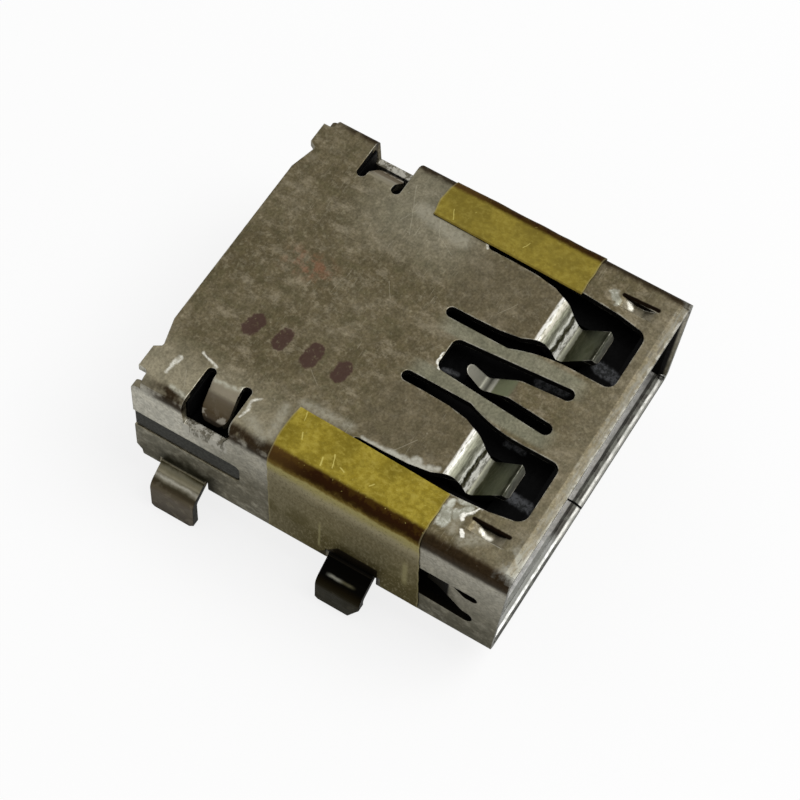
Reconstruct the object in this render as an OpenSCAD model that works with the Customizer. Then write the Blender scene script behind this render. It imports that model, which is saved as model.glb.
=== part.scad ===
// Board-mounted USB receptacle: folded steel shell, plastic insert, four contacts, two tapes.
// Plan sizes run from the mouth (y = 0) to the back; heights run down from the top plate (z = 0).
// The finished part stands on its leg tips at z = 0, centred on the origin.

/* [Shell] */
// Outer width across the side walls
shell_w = 13.1; // [12.9:0.1:14.5]
// Outer height from the bottom plate to the top plate
shell_h = 5.62; // [5.5:0.02:6.6]
// Length from the mouth to the back edge
shell_l = 15; // [14.6:0.1:18]
// Thickness of the sheet
sheet_t = 0.3; // [0.25:0.01:0.34]
// Outside radius of the long folds
fold_r = 0.4; // [0.36:0.01:0.6]
// Gap of the butt seam along the middle of the bottom
seam_gap = 0.08; // [0.04:0.01:0.2]

/* [Mouth] */
// How far the lower lip sits back from the upper one
lip_setback = 0.32; // [0.05:0.01:0.5]
// Length of the pressed bevel on the upper front edge
bevel_l = 0.38; // [0.1:0.01:0.45]
// Depth of that bevel
bevel_d = 0.08; // [0.02:0.01:0.1]
// Length of the lead-in chamfer inside the mouth
lead_in_l = 0.28; // [0.1:0.01:0.5]
// Depth of that chamfer into the sheet
lead_in_d = 0.12; // [0.04:0.01:0.14]

/* [Top springs] */
// How far the punched pattern of the top plate sits off the middle, to the right
punch_shift = 0.09; // [0:0.01:0.12]
// Distance of each spring's centre line from the middle
spring_x = 3.1; // [3:0.02:3.2]
// Where the slots beside the spring end, from the mouth
spring_root_y = 7.2; // [6.6:0.1:8.6]
// Where the spring starts to bend down, from the mouth
spring_bend_y = 4.0; // [3.8:0.05:4.4]
// Where the spring's free end lies, from the mouth
spring_tip_y = 1.9; // [1.6:0.05:2.2]
// Depth of the spring's valley under the top plate
spring_drop = 0.95; // [0.7:0.01:1.1]
// Half width of the spring at its root
spring_root_half = 1.37; // [1.2:0.01:1.45]
// Half width of the spring at its free end
spring_tip_half = 0.68; // [0.4:0.01:0.75]
// Front edge of the opening, from the mouth
opening_front_y = 0.75; // [0.6:0.05:1]

/* [Middle finger] */
// Half width of the finger at its root
finger_root_half = 0.53; // [0.4:0.01:0.6]
// Half width of the finger at its tip
finger_tip_half = 0.24; // [0.15:0.01:0.3]
// Where the finger starts to bend down, from the mouth
finger_bend_y = 3.45; // [3:0.05:3.6]
// Where the finger's tip lies, from the mouth
finger_tip_y = 5.45; // [5.2:0.05:5.6]
// Depth of the finger's valley under the top plate
finger_drop = 0.66; // [0.4:0.01:0.8]
// Back end of the middle opening, from the mouth
middle_back_y = 6.35; // [6:0.05:6.8]
// Front end of the slots beside the finger, from the mouth
middle_front_y = 1.7; // [1.5:0.05:2]

/* [Latches at the back] */
// Distance of the latch window's back edge from the shell's back edge
latch_back = 2.08; // [1.8:0.02:2.4]
// Width of the latch tab
latch_w = 1.08; // [0.8:0.02:1.3]
// Width of the slot on each side of the tab
latch_slot = 0.37; // [0.25:0.01:0.45]
// Distance of the tab's root from the outside of the wall
latch_reach = 1.7; // [1.5:0.02:2]
// Depth of the window down the wall
latch_depth = 1.25; // [1.1:0.01:1.6]
// Slope of the tab below the top plate, in degrees
latch_angle = 48; // [35:1:55]
// Straight length of the tab beyond its bend
latch_l = 1.32; // [1:0.02:1.4]

/* [Wall slots at the back] */
// Length of the slot, from the back edge
slot_l = 4.4; // [4:0.1:5]
// Height of the slot's upper edge below the top plate
slot_top = 2.3; // [2.1:0.05:2.5]
// Height of the slot
slot_h = 1.05; // [0.8:0.05:1.2]

/* [Back edge] */
// Distance of the back lobe's inner side from the outside of the wall
lobe_in = 1.6; // [1.4:0.05:1.8]
// Distance of the lobe's outer side from the outside of the wall
lobe_out = 0.55; // [0.45:0.01:0.65]
// Length of the shallow shoulder inside the lobe
shoulder_l = 1.15; // [0.8:0.05:1.4]
// Depth of that shoulder
shoulder_d = 0.27; // [0.1:0.01:0.4]
// Depth of the relief in the corner outside the lobe
relief_d = 0.4; // [0.3:0.01:0.5]
// Height of the slanted lower corner of each wall
heel_h = 0.85; // [0.8:0.01:1]

/* [Side springs] */
// Start of the side window, from the mouth
side_y = 1.15; // [0.9:0.05:1.5]
// Length of the side window
side_l = 3.05; // [2.6:0.05:3.4]
// Upper edge of the side window below the top plate
side_top = 2.12; // [1.8:0.02:2.4]
// Height of the slit above the side spring
side_slit_above = 0.38; // [0.2:0.01:0.5]
// Height of the side spring
side_spring_h = 1.05; // [0.7:0.01:1.2]
// Height of the slit below the side spring
side_slit_below = 0.6; // [0.3:0.01:0.8]
// How far the side spring's free end leans inward
side_drop = 0.46; // [0.3:0.01:0.5]
// Length of the side spring's flatter free end
side_end_l = 0.5; // [0.3:0.01:0.6]

/* [Lances near the mouth] */
// Distance of the lance's middle from the outside of the wall
lance_x = 1.36; // [1.3:0.02:1.42]
// Width of the lance
lance_w = 0.45; // [0.3:0.01:0.5]
// Start of the lance, from the mouth
lance_y = 0.75; // [0.6:0.05:1]
// Length of the lance
lance_l = 1.6; // [1.4:0.05:1.8]
// Depth of the lance
lance_drop = 0.24; // [0.1:0.01:0.28]

/* [Legs] */
// Start of the front legs, from the mouth
front_leg_y = 5.08; // [4.8:0.04:5.6]
// Distance of the back legs' back edge from the shell's back edge
back_leg_back = 1.08; // [0.9:0.02:1.5]
// Width of a leg
leg_w = 1.82; // [1.4:0.02:2]
// How far the outer face of the back legs stands out from the wall
leg_out = 0.86; // [0.7:0.02:1.2]
// How much further the front legs stand out
front_leg_extra = 0.06; // [0:0.01:0.15]
// How much shorter the front legs are
front_leg_short = 0.2; // [0:0.02:0.4]
// How far the leg tips reach below the bottom plate
leg_drop = 1.48; // [1.3:0.02:2.2]
// Height of the leg's first bend above the bottom plate
leg_rise = 0.82; // [0.6:0.02:1]
// Slope of the leg's shoulder away from the wall, in degrees
leg_angle = 57; // [50:1:65]

/* [Insert] */
// Clearance between the insert and the shell
insert_gap = 0.05; // [0.03:0.01:0.08]
// Width of the tongue
tongue_w = 11.1; // [10.8:0.1:11.3]
// Thickness of the tongue
tongue_t = 1.84; // [1.7:0.02:1.9]
// Gap between the tongue and the top plate
tongue_drop = 0.72; // [0.6:0.02:0.8]
// Distance of the tongue's tip from the mouth
tongue_tip_y = 0.95; // [0.9:0.05:1.2]
// Clearance below the rib that fills the wall slot
rib_low_gap = 0.08; // [0.02:0.01:0.3]

/* [Contacts] */
// Distance of the inner contacts from the middle
contact_in = 1; // [0.9:0.05:1.1]
// Distance of the outer contacts from the middle
contact_out = 3.5; // [3.4:0.05:3.8]
// Width of a contact
contact_w = 1; // [0.8:0.05:1.1]
// Thickness of a contact
contact_t = 0.25; // [0.2:0.01:0.3]
// Distance of the contact's hump from the mouth
contact_y = 3.2; // [3.1:0.1:3.8]
// Slope of the contact's springy arm, in degrees
contact_angle = 4.5; // [3:0.1:5]
// Length of the contact's turned-back tip
contact_tip_l = 1.3; // [1:0.05:1.4]
// Slope of that tip, in degrees
contact_tip_angle = 24; // [18:1:28]
// Width of the contact's tail
tail_w = 0.7; // [0.5:0.05:0.9]
// Distance of the contact tails from the back edge
tail_back = 0.62; // [0.55:0.01:0.8]

/* [Tapes] */
// Start of the left-hand tape, from the mouth
tape_left_y = 3.33; // [3.2:0.01:4]
// Start of the right-hand tape, from the mouth
tape_right_y = 3.52; // [3.2:0.01:4]
// Width of the tapes along the shell
tape_w = 6.1; // [5.5:0.05:6.5]
// Reach of the left-hand tape onto the top plate, from the outside of the wall
tape_left_reach = 2.1; // [1.85:0.01:2.15]
// Reach of the right-hand tape onto the top plate
tape_right_reach = 1.92; // [1.8:0.01:2]
// Thickness of the tape
tape_t = 0.06; // [0.04:0.01:0.1]

/* [Hidden] */
$fn = 48;

wall_x = shell_w / 2;
inner_x = wall_x - sheet_t;
inner_r = fold_r - sheet_t;
// Drawing allowance that takes a cut clear past a piece
over = 1;
// Small allowance that takes a cut through one face only
skin = 0.1;
// Overlap that roots a bent strip in its plate
root = 0.3;
// Largest turn between two neighbouring points of an arc, in degrees
arc_step = 12;

// Inside radius of the bends of springs, tabs and legs
bend_r = 0.2;
bend_mid_r = bend_r + sheet_t / 2;

// Slopes of the bent pieces, in degrees
spring_fall = 60;
spring_rise = 42;
finger_fall = 32;
finger_rise = 38;
lance_slope = 27;
side_fall = 18;
side_end_fall = 10;

// Half widths of a top spring, each with its distance behind the bend line
spring_flare = [
    [spring_tip_half + 0.09, -1.05],
    [0.83, -0.8],
    [0.83, -0.6],
    [1.05, 0.08],
    [1.2, 0.4],
    [spring_root_half - 0.04, 1.2]
];

slant = atan(lip_setback / shell_h);
// Rounding of the wall slot's front end
slot_r = 0.25;
// Clearance of the rib above and in front
rib_gap = 0.02;
insert_back = 0.04;
// Length and height of the bevel along the top of the insert's back
back_bevel = [0.46, 1.25];
rib_front = shell_l - slot_l;
tongue_top = -sheet_t - tongue_drop;
tongue_low = tongue_top - tongue_t;
// Clearance round a contact in its channel
contact_gap = 0.02;
contact_top = tongue_low + contact_t + contact_gap;
// Bend radii of the contact at its arm's root and at its hump
arm_root_r = 3;
hump_r = 0.8;
// Where the arm bends out of its groove, ahead of the block
arm_root_l = 1.4;
arm_root_y = rib_front - arm_root_l;
tail_y = shell_l - tail_back;
tape_gap = 0.01;
// Slit on each side of a leg, and the leg notch's reach into the bottom plate
leg_slit = 0.12;
leg_cut_in = 1.9;
// Room that a spring's valley keeps above the tongue
hollow_gap = 0.1;
bottom_notch_y = tail_y - contact_t / 2 - 0.55;

// Points of an arc about c from angle a to angle b
function arc(c, r, a, b) =
    let (n = max(2, ceil(abs(b - a) / arc_step)))
    [for (i = [0:n]) c + r * [cos(a + (b - a) * i / n), sin(a + (b - a) * i / n)]];

// Stations [x, y, heading] along a strip that is bent by moves of [straight, turn, radius]
function stations(moves, p = [0, 0], a = 0, i = 0) =
    i == len(moves) ? [] :
    let (
        m = moves[i],
        q = p + m[0] * [cos(a), sin(a)],
        side = m[1] < 0 ? -1 : 1,
        c = q + side * m[2] * [-sin(a), cos(a)],
        n = max(1, ceil(abs(m[1]) / arc_step)),
        turn = [for (k = [1:n]) let (b = a + m[1] * k / n)
            [c[0] + side * m[2] * sin(b), c[1] - side * m[2] * cos(b), b]],
        last = turn[n - 1],
        here = m[1] == 0 ? [[p[0], p[1], a], [q[0], q[1], a]]
            : concat([[p[0], p[1], a], [q[0], q[1], a]], turn)
    )
    concat(here, m[1] == 0 ? stations(moves, q, a, i + 1)
        : stations(moves, [last[0], last[1]], last[2], i + 1));

// The stations without the ones that repeat their neighbour
function distinct(s) =
    [for (i = [0:len(s) - 1])
        if (i == 0 || norm([s[i][0] - s[i - 1][0], s[i][1] - s[i - 1][1]]) > 0.0001) s[i]];

// Outline of the bent strip's side, with thickness t about the line of its stations
function strip_side(moves, t) =
    let (s = distinct(stations(moves)), n = len(s) - 1)
    concat(
        [for (i = [0:n]) [s[i][0] - t / 2 * sin(s[i][2]), s[i][1] + t / 2 * cos(s[i][2])]],
        [for (i = [n:-1:0]) [s[i][0] + t / 2 * sin(s[i][2]), s[i][1] - t / 2 * cos(s[i][2])]]
    );

// A strip that leaves the origin along +Y, with its upper face at z = 0 and its bends in z
module bent_strip(moves, t, half_w) {
    translate([-half_w, 0, -t / 2])
        rotate([90, 0, 90])
            linear_extrude(2 * half_w)
                polygon(strip_side(moves, t));
}

// Both sides of the shell
module both_sides() {
    children();
    mirror([1, 0, 0])
        children();
}

// Moves a piece from the mouth's frame to the standing part
module placed() {
    translate([0, -shell_l / 2, shell_h + leg_drop])
        children();
}

// A straight piece cut along the length of the sheet, from y = a to y = b
module along(a, b) {
    translate([0, b, 0])
        rotate([90, 0, 0])
            linear_extrude(b - a)
                children();
}

module rounded_box_2d(w, h, r) {
    polygon(concat(
        arc([w / 2 - r, -r], r, 90, 0),
        arc([w / 2 - r, r - h], r, 0, -90),
        arc([r - w / 2, r - h], r, -90, -180),
        arc([r - w / 2, -r], r, 180, 90)
    ));
}

// A slot in plan with a round end at (x, y_mid) that runs outward to the fold
module outward_slot_2d(x, y_mid, w) {
    translate([x + w / 2, y_mid])
        circle(w / 2);
    translate([x + w / 2, y_mid - w / 2])
        square([wall_x - fold_r / 2 - x - w / 2, w]);
}

module folded_tube() {
    along(0, shell_l)
        difference() {
            rounded_box_2d(shell_w, shell_h, fold_r);
            translate([0, -sheet_t])
                rounded_box_2d(2 * inner_x, shell_h - 2 * sheet_t, inner_r);
        }
}

// Takes off what lies in front of the slanted mouth, and the seam in the bottom
module mouth_cuts() {
    translate([-wall_x - over, 0, 0])
        rotate([slant, 0, 0])
            translate([0, -2 * over, -shell_h - over])
                cube([shell_w + 2 * over, 2 * over, shell_h + over]);
    translate([-seam_gap / 2, -over, -shell_h - over])
        cube([seam_gap, shell_l + 2 * over, over + sheet_t + skin]);
    // Bevel pressed on the outside of the upper edge
    translate([-wall_x + fold_r, 0, 0])
        rotate([90, 0, 90])
            linear_extrude(shell_w - 2 * fold_r)
                polygon([
                    [-over, -bevel_d * (1 + over / bevel_l)],
                    [bevel_l, 0],
                    [bevel_l, over],
                    [-over, over]
                ]);
    // Lead-in chamfers inside the upper and lower edges
    for (edge = [[0, -sheet_t, 1], [lip_setback, sheet_t - shell_h, -1]])
        translate([-inner_x, edge[0], edge[1]])
            rotate([90, 0, 90])
                linear_extrude(2 * inner_x)
                    polygon([
                        [-over, edge[2] * lead_in_d * (1 + over / lead_in_l)],
                        [lead_in_l, 0],
                        [-over, -edge[2] * skin / 2]
                    ]);
    // Lead-in chamfers inside the walls, along the slanted front edge
    both_sides()
        rotate([slant, 0, 0])
            translate([inner_x, 0, inner_r - shell_h + sheet_t])
                linear_extrude(shell_h - 2 * sheet_t - 2 * inner_r)
                    polygon([
                        [lead_in_d * (1 + over / lead_in_l), -over],
                        [0, lead_in_l],
                        [-skin / 2, -over]
                    ]);
}

// Outline of the spring in plan, about its own centre line
module spring_plan() {
    tip_r = 0.2;
    last = len(spring_flare) - 1;
    polygon(concat(
        [[-spring_root_half, spring_root_y + over], [-spring_root_half, spring_root_y - 1]],
        [for (i = [last:-1:0]) [-spring_flare[i][0], spring_bend_y + spring_flare[i][1]]],
        arc([-spring_tip_half + tip_r, spring_tip_y], tip_r, 180, 270),
        arc([spring_tip_half - tip_r, spring_tip_y], tip_r, -90, 0),
        [for (i = [0:last]) [spring_flare[i][0], spring_bend_y + spring_flare[i][1]]],
        [[spring_root_half, spring_root_y - 1], [spring_root_half, spring_root_y + over]]
    ));
}

// The opening round the spring in plan, about the spring's centre line, inner side at -x
module spring_opening_plan() {
    slot_in = 0.45;
    slot_out = 0.34;
    front_in = 1.36;
    front_out = 1.31;
    corner_in = 0.36;
    corner_out = 0.46;
    // The outer slot ends a little further back than the inner one
    out_back = 0.1;
    // Steps of the outer edge inward from the slot, each with its distance behind the front
    out_steps = [[0.25, 1.25], [0.19, 2.1], [0.07, 4]];
    in_x = spring_root_half + slot_in;
    out_x = spring_root_half + slot_out;
    in_top = spring_root_y - slot_in / 2;
    out_top = spring_root_y + out_back - slot_out / 2;
    flare_back = spring_bend_y + 0.6;
    flare_l = 2.2;
    difference() {
        polygon(concat(
            arc([slot_in / 2 - in_x, in_top], slot_in / 2, 0, 180),
            // The inner edge eases outward from the slot to the open front
            [for (i = [0:8]) let (t = i / 8)
                [-in_x + (in_x - front_in) * (1 - (1 - t) * (1 - t)), flare_back - flare_l * t]],
            arc([corner_in - front_in, opening_front_y + corner_in], corner_in, 180, 270),
            arc([front_out - corner_out, opening_front_y + corner_out], corner_out, -90, 0),
            [for (step = out_steps) [out_x - step[0], opening_front_y + step[1]]],
            arc([out_x - slot_out / 2, out_top], slot_out / 2, 0, 180)
        ));
        // Only the flat part of the spring stays in the plate
        intersection() {
            spring_plan();
            translate([-spring_x, spring_bend_y])
                square([2 * spring_x, shell_l]);
        }
    }
}

// Length of the falling part of a spring that sinks by drop at the given angle
function fall_l(drop, angle) = (drop - 2 * bend_mid_r * (1 - cos(angle))) / sin(angle);

// Distance from the spring's bend line to the bottom of its valley
function valley_reach(drop, angle) =
    2 * bend_mid_r * sin(angle) + fall_l(drop, angle) * cos(angle);

function spring_valley_y() = spring_bend_y - valley_reach(spring_drop, spring_fall);
function finger_valley_y() = finger_bend_y + valley_reach(finger_drop, finger_fall);

// The bent front of a top spring, about its own centre line
module spring_bend() {
    rise_l = (spring_valley_y() - bend_r * sin(spring_rise) - spring_tip_y) / cos(spring_rise);
    intersection() {
        translate([0, spring_bend_y + root, 0])
            rotate([0, 0, 180])
                bent_strip([
                    [root, -spring_fall, bend_mid_r],
                    [fall_l(spring_drop, spring_fall), spring_fall + spring_rise, bend_mid_r],
                    [rise_l, 0, 0]
                ], sheet_t, spring_root_half);
        translate([0, 0, -spring_drop - over])
            linear_extrude(spring_drop + 2 * over)
                spring_plan();
    }
}

module finger_plan() {
    tip_r = finger_tip_half;
    // The finger narrows from its root to its bend
    taper = 0.12;
    root_l = 0.3;
    root_y = middle_front_y + root_l;
    polygon(concat(
        [[finger_root_half, middle_front_y - over], [finger_root_half, root_y]],
        [[finger_root_half - taper, finger_bend_y]],
        arc([0, finger_tip_y - tip_r], tip_r, 0, 180),
        [[taper - finger_root_half, finger_bend_y]],
        [[-finger_root_half, root_y], [-finger_root_half, middle_front_y - over]]
    ));
}

// The opening round the middle finger in plan
module middle_opening_plan() {
    back_half = 0.72;
    front_half = 1.04;
    corner = 0.3;
    end_r = (front_half - finger_root_half) / 2;
    end_x = (front_half + finger_root_half) / 2;
    difference() {
        polygon(concat(
            arc([back_half - corner, middle_back_y - corner], corner, 0, 90),
            arc([corner - back_half, middle_back_y - corner], corner, 90, 180),
            arc([-end_x, middle_front_y + end_r], end_r, 180, 360),
            arc([end_x, middle_front_y + end_r], end_r, 180, 360)
        ));
        // Only the flat part of the finger stays in the plate
        intersection() {
            finger_plan();
            translate([-over, -over])
                square([2 * over, finger_bend_y + over]);
        }
    }
}

module finger_bend() {
    rise_l = (finger_tip_y - finger_valley_y() - bend_r * sin(finger_rise)) / cos(finger_rise);
    intersection() {
        translate([0, finger_bend_y - root, 0])
            bent_strip([
                [root, -finger_fall, bend_mid_r],
                [fall_l(finger_drop, finger_fall), finger_fall + finger_rise, bend_mid_r],
                [rise_l, 0, 0]
            ], sheet_t, finger_root_half);
        translate([0, 0, -finger_drop - over])
            linear_extrude(finger_drop + 2 * over)
                finger_plan();
    }
}

// Middle of the latch tab along the length
function latch_mid() = shell_l - latch_back - latch_slot - latch_w / 2;

// Root of the latch tab on the right-hand side
function latch_root() = wall_x - latch_reach;

module latch_cut() {
    // The slots end past the tab's root
    end_x = latch_root() - 0.12;
    side = (latch_w + latch_slot) / 2;
    back = latch_mid() + side + latch_slot / 2;
    front = latch_mid() - side - latch_slot / 2;
    // The window's back edge leans forward and its front edge drifts across the fold
    back_lean = 0.07;
    fold_drift = 0.16;
    sill = [0.2, 0.08];
    sill_h = 0.3;
    // Slots and the opening between them, through the top plate
    translate([0, 0, -latch_depth])
        linear_extrude(latch_depth + over) {
            outward_slot_2d(end_x, latch_mid() + side, latch_slot);
            outward_slot_2d(end_x, latch_mid() - side, latch_slot);
            translate([latch_root(), latch_mid() - side])
                square([latch_reach - fold_r / 2, 2 * side]);
        }
    // The window in the fold and the wall
    translate([wall_x - fold_r - skin / 5, 0, 0])
        rotate([90, 0, 90])
            linear_extrude(fold_r + over)
                polygon([
                    [back, over],
                    [back, -fold_r],
                    [back - back_lean, -latch_depth],
                    [front + sill[0], -latch_depth],
                    [front + sill[1], -latch_depth + sill_h],
                    [front - fold_drift, -fold_r],
                    [front, 0],
                    [front, over]
                ]);
}

module latch_tab() {
    tip_r = 0.42;
    // What the rounded tip takes off the strip's length
    tip_trim = 0.24;
    reach = (bend_mid_r + bend_r + sheet_t) * sin(latch_angle) + latch_l * cos(latch_angle) + root;
    tip_x = reach - tip_r - tip_trim;
    intersection() {
        translate([latch_root() - root, latch_mid(), 0])
            rotate([0, 0, -90])
                bent_strip([
                    [root, -latch_angle, bend_mid_r],
                    [latch_l, 0, 0]
                ], sheet_t, latch_w / 2);
        translate([latch_root() - root, latch_mid(), -shell_h])
            linear_extrude(shell_h + over)
                polygon(concat(
                    [[0, latch_w / 2], [0, -latch_w / 2]],
                    arc([tip_x, tip_r - latch_w / 2], tip_r, -90, 0),
                    arc([tip_x, latch_w / 2 - tip_r], tip_r, 0, 90)
                ));
    }
}

module wall_slot_cut() {
    y = shell_l - slot_l;
    translate([inner_x - skin, 0, -slot_top])
        rotate([90, 0, 90])
            linear_extrude(sheet_t + skin + over)
                polygon(concat(
                    [[shell_l + over, 0]],
                    arc([y + slot_r, -slot_r], slot_r, 90, 180),
                    arc([y + slot_r, slot_r - slot_h], slot_r, 180, 270),
                    [[shell_l + over, -slot_h]]
                ));
}

module side_window_cut() {
    h = side_slit_above + side_spring_h + side_slit_below;
    r_up = side_slit_above / 2;
    r_low = side_slit_below / 2;
    back_r = 0.3;
    // The upper slit starts nearer the mouth than the lower one
    up_lead = 0.1;
    // The lower edge rises a little toward the back
    low_rise = 0.16;
    translate([inner_x - skin, side_y, -side_top])
        rotate([90, 0, 90])
            linear_extrude(sheet_t + skin + over)
                polygon(concat(
                    arc([r_up - up_lead, -r_up], r_up, 90, 270),
                    arc([r_low, r_low - h], r_low, 90, 270),
                    arc([side_l - back_r, low_rise + back_r - h], back_r, -90, 0),
                    arc([side_l - back_r, -back_r], back_r, 0, 90)
                ));
}

module side_spring() {
    // Straight piece at the root
    root_l = 0.33;
    bends_d = bend_mid_r * (1 + cos(side_end_fall) - 2 * cos(side_fall));
    slope_l = (side_drop - bends_d - side_end_l * sin(side_end_fall)) / sin(side_fall);
    translate([wall_x, side_y, -side_top - side_slit_above - side_spring_h / 2])
        rotate([0, 90, 0])
            bent_strip([
                [root_l, -side_fall, bend_mid_r],
                [slope_l, side_fall - side_end_fall, bend_mid_r],
                [side_end_l, 0, 0]
            ], sheet_t, side_spring_h / 2);
}

module lance_cut() {
    translate([wall_x - lance_x - lance_w / 2, lance_y, -sheet_t - over])
        cube([lance_w, lance_l, sheet_t + 2 * over]);
}

module lance() {
    slope_l = fall_l(lance_drop, lance_slope);
    floor_l = lance_l - 4 * bend_mid_r * sin(lance_slope) - 2 * slope_l * cos(lance_slope);
    // The ends run a little way into the plate
    end_l = 0.02;
    translate([wall_x - lance_x, lance_y - end_l, 0])
        bent_strip([
            [end_l, -lance_slope, bend_mid_r],
            [slope_l, lance_slope, bend_mid_r],
            [floor_l, lance_slope, bend_mid_r],
            [slope_l, -lance_slope, bend_mid_r],
            [end_l, 0, 0]
        ], sheet_t, lance_w / 2);
}

// Middle of the front and back legs along the length
function leg_places() = [front_leg_y + leg_w / 2, shell_l - back_leg_back - leg_w / 2];

// Clears the wall, the lower fold and the bottom plate round a leg
module leg_cut(y) {
    w = leg_w + 2 * leg_slit;
    translate([wall_x - leg_cut_in, y - w / 2, -shell_h - over])
        cube([leg_cut_in + over, w, over + leg_rise]);
}

// A leg about its middle at y, standing out and drawn up by the given amounts.
// The toe gives the length and height of the cut across its front lower corner.
module leg(y, out, short, toe) {
    shoulder_r = 0.4;
    // Cut across the foot's back corner
    heel = 0.12;
    first = bend_mid_r * (1 - cos(leg_angle));
    second = shoulder_r * (1 - cos(leg_angle));
    slope_l = (out - first - second) / sin(leg_angle);
    bends_h = (bend_mid_r + shoulder_r) * sin(leg_angle) + slope_l * cos(leg_angle);
    foot_l = leg_rise + leg_drop - short - bends_h;
    intersection() {
        translate([wall_x, y, leg_rise - shell_h + skin])
            rotate([-90, 0, 90])
                mirror([0, 0, 1])
                    mirror([0, 1, 0])
                        rotate([0, 0, 180])
                            bent_strip([
                                [skin, leg_angle, bend_mid_r],
                                [slope_l, -leg_angle, shoulder_r],
                                [foot_l, 0, 0]
                            ], sheet_t, leg_w / 2);
        // The corners of the foot, seen from the side
        translate([0, y, short - shell_h - leg_drop])
            rotate([90, 0, 90])
                linear_extrude(shell_w)
                    polygon([
                        [-leg_w / 2 - over, leg_rise + leg_drop + over],
                        [-leg_w / 2 - over, toe[1]],
                        [-leg_w / 2, toe[1]],
                        [-leg_w / 2 + toe[0], 0],
                        [leg_w / 2 - heel, 0],
                        [leg_w / 2, heel],
                        [leg_w / 2 + over, heel],
                        [leg_w / 2 + over, leg_rise + leg_drop + over]
                    ]);
    }
}

// The back edge: lobes, shallow shoulders and corner reliefs
module back_edge_cut() {
    edge = shell_l;
    in_x = wall_x - lobe_in;
    out_x = wall_x - lobe_out;
    // Half length of the lobe's slanted inner side, and the step at the shoulder's foot
    ease = 0.14;
    step_l = 0.09;
    // Roundings of the corner relief and of the wall behind it
    relief_r = 0.16;
    wall_r = 0.3;
    wall_z = -fold_r - 0.05;
    // Depths of the wall's slanted lower corner, and the height where it gets steeper
    heel = [0.28, 0.22];
    heel_mid = 0.7 * heel_h;
    // Width left beside the notch for the tails
    notch_side = 0.9;
    both_sides()
        translate([0, 0, -sheet_t - skin])
            linear_extrude(sheet_t + skin + over) {
                polygon([
                    [in_x - shoulder_l - skin, edge + over],
                    [in_x - shoulder_l, edge],
                    [in_x - ease + step_l / 3, edge - shoulder_d],
                    [in_x - ease + step_l * 4 / 3, edge - shoulder_d + skin / 5],
                    [in_x + ease, edge],
                    [in_x + ease, edge + over]
                ]);
                polygon(concat(
                    [[out_x, edge + over]],
                    arc([out_x + relief_r, edge - relief_d + relief_r], relief_r, 180, 270),
                    [[wall_x + over, edge - relief_d], [wall_x + over, edge + over]]
                ));
            }
    // The relief takes the end of the fold away and rounds the wall's upper corner
    translate([-wall_x - over, 0, 0])
        rotate([90, 0, 90])
            linear_extrude(shell_w + 2 * over)
                polygon(concat(
                    [[edge - relief_d, -sheet_t], [edge - relief_d, wall_z]],
                    arc([edge - wall_r, wall_z - wall_r], wall_r, 90, 0),
                    [[edge + over, wall_z - wall_r], [edge + over, -sheet_t]]
                ));
    // The lower back corners of the walls
    translate([-wall_x - over, 0, 0])
        rotate([90, 0, 90])
            linear_extrude(shell_w + 2 * over)
                polygon([
                    [edge - heel[0], -shell_h],
                    [edge - heel[1], heel_mid - shell_h],
                    [edge, heel_h - shell_h],
                    [edge + over, heel_h - shell_h],
                    [edge + over, -shell_h - over],
                    [edge - heel[0], -shell_h - over]
                ]);
    // The bottom plate stops short where the contact tails go down
    translate([-inner_x + notch_side, bottom_notch_y, -shell_h - over])
        cube([2 * (inner_x - notch_side), shell_l - bottom_notch_y + over, over + sheet_t + skin]);
}

module shell() {
    // Corners cut off the feet of the front and the back legs
    front_toe = [0.45, 0.9];
    back_toe = [0.2, 0.2];
    color([0.45, 0.42, 0.36])
        placed() {
            difference() {
                folded_tube();
                mouth_cuts();
                back_edge_cut();
                translate([punch_shift, 0, -sheet_t - skin])
                    linear_extrude(sheet_t + skin + over) {
                        both_sides()
                            translate([spring_x, 0])
                                spring_opening_plan();
                        middle_opening_plan();
                    }
                both_sides() {
                    latch_cut();
                    wall_slot_cut();
                    side_window_cut();
                    lance_cut();
                    for (y = leg_places())
                        leg_cut(y);
                }
            }
            translate([punch_shift, 0, 0]) {
                finger_bend();
                both_sides()
                    translate([spring_x, 0, 0])
                        spring_bend();
            }
            both_sides() {
                latch_tab();
                side_spring();
                lance();
                leg(leg_places()[0], leg_out + front_leg_extra, front_leg_short, front_toe);
                leg(leg_places()[1], leg_out, 0, back_toe);
            }
        }
}

// Length of the contact's arm, so that its hump lies at contact_y
function arm_l() =
    (arm_root_y - contact_y - (arm_root_r + hump_r) * sin(contact_angle)) / cos(contact_angle);

// How far the contact's hump hangs below its straight part
function arm_fall() =
    (arm_root_r + hump_r) * (1 - cos(contact_angle)) + arm_l() * sin(contact_angle);

// How far the contact's tip rises again from the hump
function tip_rise() =
    hump_r * (1 - cos(contact_tip_angle)) + contact_tip_l * sin(contact_tip_angle);

// A contact about its own centre line
module contact_body() {
    turn_r = bend_r + contact_t / 2;
    turn_y = tail_y - turn_r;
    lap = 0.05;
    // The arm runs forward from the bend above the tail
    translate([0, turn_y, contact_top])
        rotate([0, 0, 180])
            bent_strip([
                [turn_y - arm_root_y, -contact_angle, arm_root_r],
                [arm_l(), contact_angle + contact_tip_angle, hump_r],
                [contact_tip_l, 0, 0]
            ], contact_t, contact_w / 2);
    // The tail turns down behind the insert
    translate([0, turn_y - lap, contact_top])
        bent_strip([
            [lap, -90, turn_r],
            [shell_h + leg_drop + contact_top - turn_r - contact_t / 2, 0, 0]
        ], contact_t, tail_w / 2);
}

module contact(x) {
    color([0.72, 0.6, 0.32])
        placed()
            translate([x, 0, 0])
                contact_body();
}

module contact_1() {
    contact(-contact_out);
}

module contact_2() {
    contact(-contact_in);
}

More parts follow.
